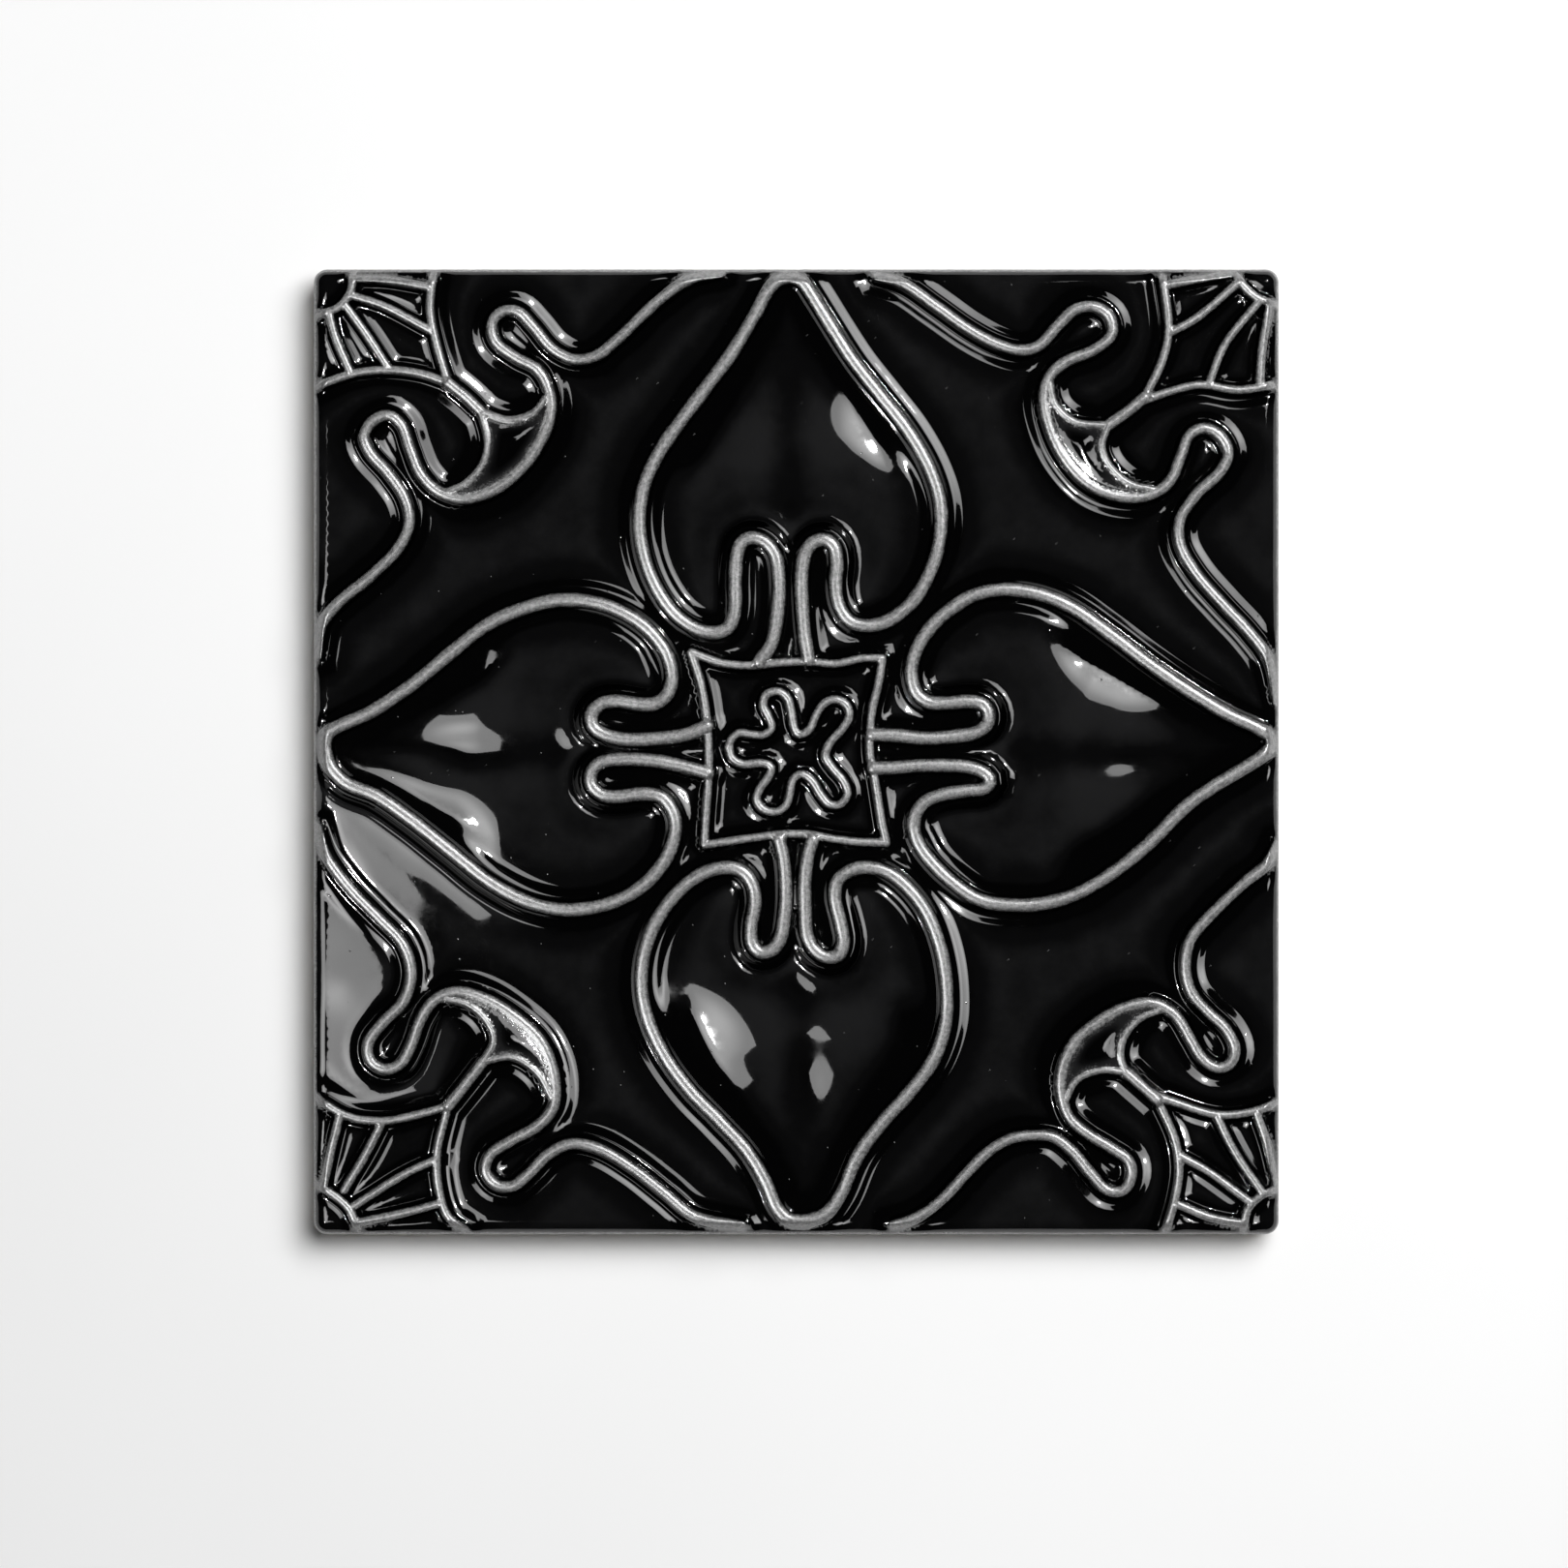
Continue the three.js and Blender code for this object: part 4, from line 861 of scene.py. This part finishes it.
def make_tile(material_glaze, material_body):
    """The whole fired piece as one closed mesh: glazed face, upright sides, chamfer and flat back."""
    rim = outline_ring(0)
    inner = face_points()
    face = np.vstack([rim, inner])
    vectors = [Vector(place) for place in (face / MM).tolist()]
    triangles = delaunay_2d_cdt(vectors, [], [], 0, SAME_PLACE, False)
    flat = np.array([tuple(v) for v in triangles[0]]) * MM
    maps = ground_maps()
    heights, thin, bulge = face_shape(flat, maps)
    vertices = [(x, y, z) for (x, y), z in zip(flat.tolist(), heights.tolist())]
    faces = [tuple(face) for face in triangles[2]]
    count = len(rim)
    top = nearest_indices(flat, rim)
    rows = [top]
    levels = [(height, 0.0) for height in SIDE_LEVELS]
    levels.append((0.0, BACK_CHAMFER))
    for height, inset in levels:
        start = len(vertices)
        vertices += [(x, y, height) for x, y in outline_ring(inset).tolist()]
        rows.append(list(range(start, start + count)))
    for upper, lower in zip(rows[:-1], rows[1:]):
        for i in range(count):
            j = (i + 1) % count
            faces.append((upper[i], lower[i], lower[j], upper[j]))
    faces.append(tuple(reversed(rows[-1])))
    mesh = bpy.data.meshes.new("relief_tile_glazed")
    mesh.from_pydata(vertices, [], faces)
    mesh.materials.append(material_glaze)
    mesh.materials.append(material_body)
    mesh.polygons.foreach_set("use_smooth", [True] * len(mesh.polygons))
    mesh.polygons[-1].use_smooth = False
    mesh.polygons[-1].material_index = 1
    for name, shares in (("thin_glaze_and_rim_reflection", thin), ("ground_bulge", bulge)):
        values = np.zeros(len(mesh.vertices), np.float32)
        values[:len(shares)] = shares
        mesh.attributes.new(name, "FLOAT", "POINT").data.foreach_set("value", values)
    mesh.validate()
    mesh.update()
    normals = np.zeros((len(mesh.vertices), 3))
    deep_inside = np.flatnonzero(edge_distance(flat) > 2 * SLOPE_SPAN)
    normals[deep_inside] = face_normals(flat[deep_inside], maps)
    mesh.normals_split_custom_set_from_vertices(normals.tolist())
    tile = bpy.data.objects.new("relief_tile_glazed", mesh)
    bpy.context.scene.collection.objects.link(tile)
    return tile


def nearest_indices(points, wanted):
    """Index of the point that lies on each wanted place."""
    outer = np.flatnonzero(edge_distance(points) < ON_EDGE)
    result = []
    for place in wanted:
        gaps = np.abs(points[outer] - place).sum(1)
        result.append(int(outer[gaps.argmin()]))
    return result


class Nodes:
    """Short way to lay out a material's nodes."""

    def __init__(self, name):
        self.material = bpy.data.materials.new(name)
        self.material.use_nodes = True
        self.tree = self.material.node_tree
        self.shader = self.tree.nodes["Principled BSDF"]

    def add(self, kind, settings=None, **inputs):
        """A node with its settings, and its inputs given as numbers or as another node's output."""
        node = self.tree.nodes.new(kind)
        for name, value in (settings or {}).items():
            setattr(node, name, value)
        for name, value in inputs.items():
            self.put(node.inputs[name], value)
        return node

    def put(self, socket, value):
        """Gives an input a number, or links another node's output to it."""
        if isinstance(value, bpy.types.NodeSocket):
            self.tree.links.new(value, socket)
        else:
            socket.default_value = value

    def place(self):
        """Object coordinates, in metres."""
        return self.add("ShaderNodeTexCoord").outputs["Object"]

    def noise(self, kind, place):
        """Soft random values around one half."""
        scale, detail, roughness = kind
        node = self.add("ShaderNodeTexNoise", Scale=scale, Detail=detail, Roughness=roughness)
        self.put(node.inputs["Vector"], place)
        return node.outputs["Fac"]

    def swing(self, noise, reach):
        """A noise centred on zero and made that wide."""
        return self.math("MULTIPLY_ADD", noise, reach, -reach / 2)

    def math(self, operation, first, second, third=None):
        """Sum, product or the like of numbers and outputs."""
        node = self.add("ShaderNodeMath", {"operation": operation})
        self.put(node.inputs[0], first)
        self.put(node.inputs[1], second)
        if third is not None:
            self.put(node.inputs[2], third)
        return node.outputs[0]

    def ramp(self, value, low, high, start=0.0, end=1.0):
        """Value moved smoothly from start at low to end at high."""
        node = self.add("ShaderNodeMapRange", {"interpolation_type": "SMOOTHSTEP"})
        for name, number in (("From Min", low), ("From Max", high), ("To Min", start), ("To Max", end)):
            self.put(node.inputs[name], number)
        self.put(node.inputs["Value"], value)
        return node.outputs["Result"]

    def blend(self, share, first, second):
        """Colour between first and second."""
        node = self.add("ShaderNodeMix", {"data_type": "RGBA"})
        self.put(node.inputs["Factor"], share)
        self.put(node.inputs[6], first)
        self.put(node.inputs[7], second)
        return node.outputs[2]

    def bump(self, height, relief, under=None):
        """Surface direction that follows a height, over the one under it."""
        distance, strength = relief
        node = self.add("ShaderNodeBump", Height=height, Distance=distance, Strength=strength)
        if under is not None:
            self.put(node.inputs["Normal"], under)
        return node.outputs["Normal"]


def glaze_material():
    """Deep black gloss glaze that breaks to grey where it ran thin, with painted reflection greying the rim,
    over clay that shows low on the sides.
    """
    glaze = Nodes("black_glaze")
    place = glaze.place()
    # The thin share also carries the rim's painted reflection, which greys the rim like thin glaze.
    thin = glaze.add("ShaderNodeAttribute", {"attribute_name": "thin_glaze_and_rim_reflection"}).outputs["Fac"]
    drift = glaze.noise(DRIFT, place)
    grain = glaze.noise(GRAIN, place)
    mottle = glaze.noise(MOTTLE, place)
    parts = [glaze.math("MULTIPLY", noise, share) for noise, share in zip((grain, mottle), FLECK_SHARES)]
    fleck = glaze.math("ADD", *parts)
    uneven = glaze.swing(drift, THIN_DRIFT)
    worn = glaze.swing(grain, THIN_GRAIN)
    bare = glaze.math("ADD", glaze.math("ADD", thin, uneven), worn)
    breaking = glaze.ramp(bare, *BREAKING_RANGE)

    bulge = glaze.add("ShaderNodeAttribute", {"attribute_name": "ground_bulge"}).outputs["Fac"]
    stretched = glaze.math("ADD", bulge, glaze.swing(drift, BULGE_DRIFT))
    deep = glaze.blend(glaze.ramp(stretched, *POOLED_RANGE), DEEP_BLACK, OPEN_BLACK)
    deep = glaze.blend(glaze.ramp(stretched, *HIGH_RANGE), deep, HIGH_BLACK)
    grey = glaze.blend(glaze.ramp(fleck, *FLECK_RANGE), CREST_DARK, CREST_PALE)
    glazed = glaze.blend(breaking, deep, grey)

    height = glaze.add("ShaderNodeSeparateXYZ", Vector=place).outputs["Z"]
    run = glaze.noise(GLAZE_RUN, place)
    line = glaze.math("MULTIPLY_ADD", run, GLAZE_END_DRIFT, GLAZE_END)
    above = glaze.math("SUBTRACT", height, line)
    body = glaze.ramp(above, -GLAZE_END_SOFTNESS, GLAZE_END_SOFTNESS, 1.0, 0.0)
    lip = glaze.ramp(above, *LIP_RANGE, 1.0, 0.0)
    glazed = glaze.blend(glaze.math("MULTIPLY", lip, LIP_SHARE), glazed, GLAZE_LIP)
    glaze.put(glaze.shader.inputs["Base Color"], glaze.blend(body, glazed, clay_colour(glaze, place)))

    gloss = glaze.ramp(glaze.noise(GLOSS, place), *GLOSS_RANGE, *GLAZE_ROUGHNESS)
    rough = glaze.math("MULTIPLY_ADD", breaking, CREST_ROUGHNESS, gloss)
    shine = glaze.math("MULTIPLY_ADD", breaking, CREST_SHINE, GLAZE_SHINE)
    glaze.put(glaze.shader.inputs["Specular IOR Level"], shine)
    glaze.put(glaze.shader.inputs["Roughness"], glaze.math("MULTIPLY_ADD", body, BODY_ROUGHNESS, rough))
    glaze.shader.inputs["IOR"].default_value = GLAZE_IOR

    normal = glaze.bump(glaze.noise(WAVE, place), WAVE_RELIEF)
    pits = glaze.add("ShaderNodeTexVoronoi", {"feature": "F1"}, Scale=PIT_SCALE)
    glaze.put(pits.inputs["Vector"], place)
    pit = glaze.ramp(pits.outputs["Distance"], *PIT_RANGE)
    normal = glaze.bump(pit, PIT_RELIEF, normal)
    rubbed = glaze.math("MULTIPLY", glaze.math("MAXIMUM", breaking, body), grain)
    normal = glaze.bump(rubbed, RUBBED_RELIEF, normal)
    glaze.put(glaze.shader.inputs["Normal"], normal)
    return glaze.material


def clay_colour(nodes, place):
    """Buff fired clay with faint clouds and a few darker grains."""
    cloud = nodes.ramp(nodes.noise(CLAY_CLOUD, place), *CLOUD_RANGE)
    base = nodes.blend(cloud, CLAY_DARK, CLAY_PALE)
    grain = nodes.ramp(nodes.noise(CLAY_SPECK, place), *SPECK_RANGE)
    return nodes.blend(nodes.math("MULTIPLY", grain, SPECK_SHARE), base, CLAY_GRAIN)


def clay_material():
    """Unglazed back: matt, slightly rough clay."""
    clay = Nodes("fired_clay")
    place = clay.place()
    clay.put(clay.shader.inputs["Base Color"], clay_colour(clay, place))
    rough = clay.ramp(clay.noise(CLAY_SHEEN, place), *CLOUD_RANGE, *CLAY_ROUGHNESS)
    clay.put(clay.shader.inputs["Roughness"], rough)
    coarse = clay.bump(clay.noise(CLAY_COARSE, place), COARSE_RELIEF)
    fine = clay.bump(clay.noise(CLAY_FINE, place), FINE_RELIEF, coarse)
    clay.put(clay.shader.inputs["Normal"], fine)
    return clay.material


def floor_material():
    """Plain white sweep."""
    floor = Nodes("pale_floor")
    place = floor.place()
    tone = floor.ramp(floor.noise(FLOOR_CLOUD, place), *CLOUD_RANGE)
    floor.put(floor.shader.inputs["Base Color"], floor.blend(tone, *FLOOR_TONES))
    floor.shader.inputs["Roughness"].default_value = FLOOR_ROUGHNESS
    floor.shader.inputs["Specular IOR Level"].default_value = FLOOR_SHINE
    return floor.material


def make_floor():
    """Large flat floor under the tile."""
    mesh = bpy.data.meshes.new("floor")
    corners = [(x * FLOOR_REACH, y * FLOOR_REACH, 0) for x, y in ((-1, -1), (1, -1), (1, 1), (-1, 1))]
    mesh.from_pydata(corners, [], [(0, 1, 2, 3)])
    mesh.materials.append(floor_material())
    floor = bpy.data.objects.new("floor", mesh)
    bpy.context.scene.collection.objects.link(floor)


def brighten_middle(light):
    """Makes a softbox shine more from its middle than from its edges."""
    light.use_nodes = True
    nodes, links = light.node_tree.nodes, light.node_tree.links
    centred = nodes.new("ShaderNodeVectorMath")
    centred.operation = "DISTANCE"
    centred.inputs[1].default_value = (0.5, 0.5, 0)
    links.new(nodes.new("ShaderNodeNewGeometry").outputs["Parametric"], centred.inputs[0])
    fade = nodes.new("ShaderNodeMapRange")
    fade.interpolation_type = "SMOOTHSTEP"
    glow = {"From Min": 0.0, "From Max": 0.5, "To Min": MIDDLE_GLOW, "To Max": EDGE_GLOW}
    for name, number in glow.items():
        fade.inputs[name].default_value = number
    links.new(centred.outputs["Value"], fade.inputs["Value"])
    links.new(fade.outputs["Result"], nodes["Emission"].inputs["Strength"])


def softbox(name, azimuth, elevation, distance, size, radiance, mirrored):
    """Rectangular softbox that faces the tile. A mirrored one shows only in reflections, any other only
    lights what is matt."""
    light = bpy.data.lights.new(name, "AREA")
    light.shape = "RECTANGLE"
    light.size, light.size_y = size
    light.energy = radiance * math.pi * size[0] * size[1]
    lamp = bpy.data.objects.new(name, light)
    a, e = math.radians(azimuth), math.radians(elevation)
    way = Vector((math.cos(a) * math.cos(e), math.sin(a) * math.cos(e), math.sin(e)))
    lamp.location = way * distance
    lamp.rotation_euler = way.to_track_quat("Z", "Y").to_euler()
    if mirrored:
        brighten_middle(light)
    lamp.visible_glossy = mirrored
    lamp.visible_diffuse = not mirrored
    bpy.context.scene.collection.objects.link(lamp)


def make_light():
    """The studio's lights, and an even, very faint glow from all around."""
    for name, settings in LIGHTS.items():
        softbox(name, *settings)
    world = bpy.data.worlds.new("studio")
    world.use_nodes = True
    background = world.node_tree.nodes["Background"]
    background.inputs["Color"].default_value = (1, 1, 1, 1)
    background.inputs["Strength"].default_value = AIR_GLOW
    bpy.context.scene.world = world


def make_camera():
    """Camera straight above the tile, as in the photograph."""
    data = bpy.data.cameras.new("camera")
    data.sensor_width = SENSOR
    data.lens = LENS
    camera = bpy.data.objects.new("camera", data)
    camera.location = (AIM[0], AIM[1], TOP_HEIGHT + PICTURE_WIDTH * LENS / SENSOR)
    bpy.context.scene.collection.objects.link(camera)
    bpy.context.scene.camera = camera


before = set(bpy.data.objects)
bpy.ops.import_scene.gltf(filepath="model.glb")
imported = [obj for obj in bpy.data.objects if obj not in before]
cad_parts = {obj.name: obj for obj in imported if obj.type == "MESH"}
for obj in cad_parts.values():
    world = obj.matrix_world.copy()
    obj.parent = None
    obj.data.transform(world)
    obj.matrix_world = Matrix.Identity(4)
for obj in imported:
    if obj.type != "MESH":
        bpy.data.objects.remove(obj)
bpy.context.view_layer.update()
low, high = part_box("relief_tile")
HALF = (high.x - low.x) / 2
TOP_HEIGHT = high.z
UNIT = HALF / 100
FAMILIES = line_families()

make_camera()
make_light()
make_floor()
bpy.context.scene.view_settings.view_transform = "Standard"

tile = make_tile(glaze_material(), clay_material())
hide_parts("relief_tile")
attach(tile, "root")
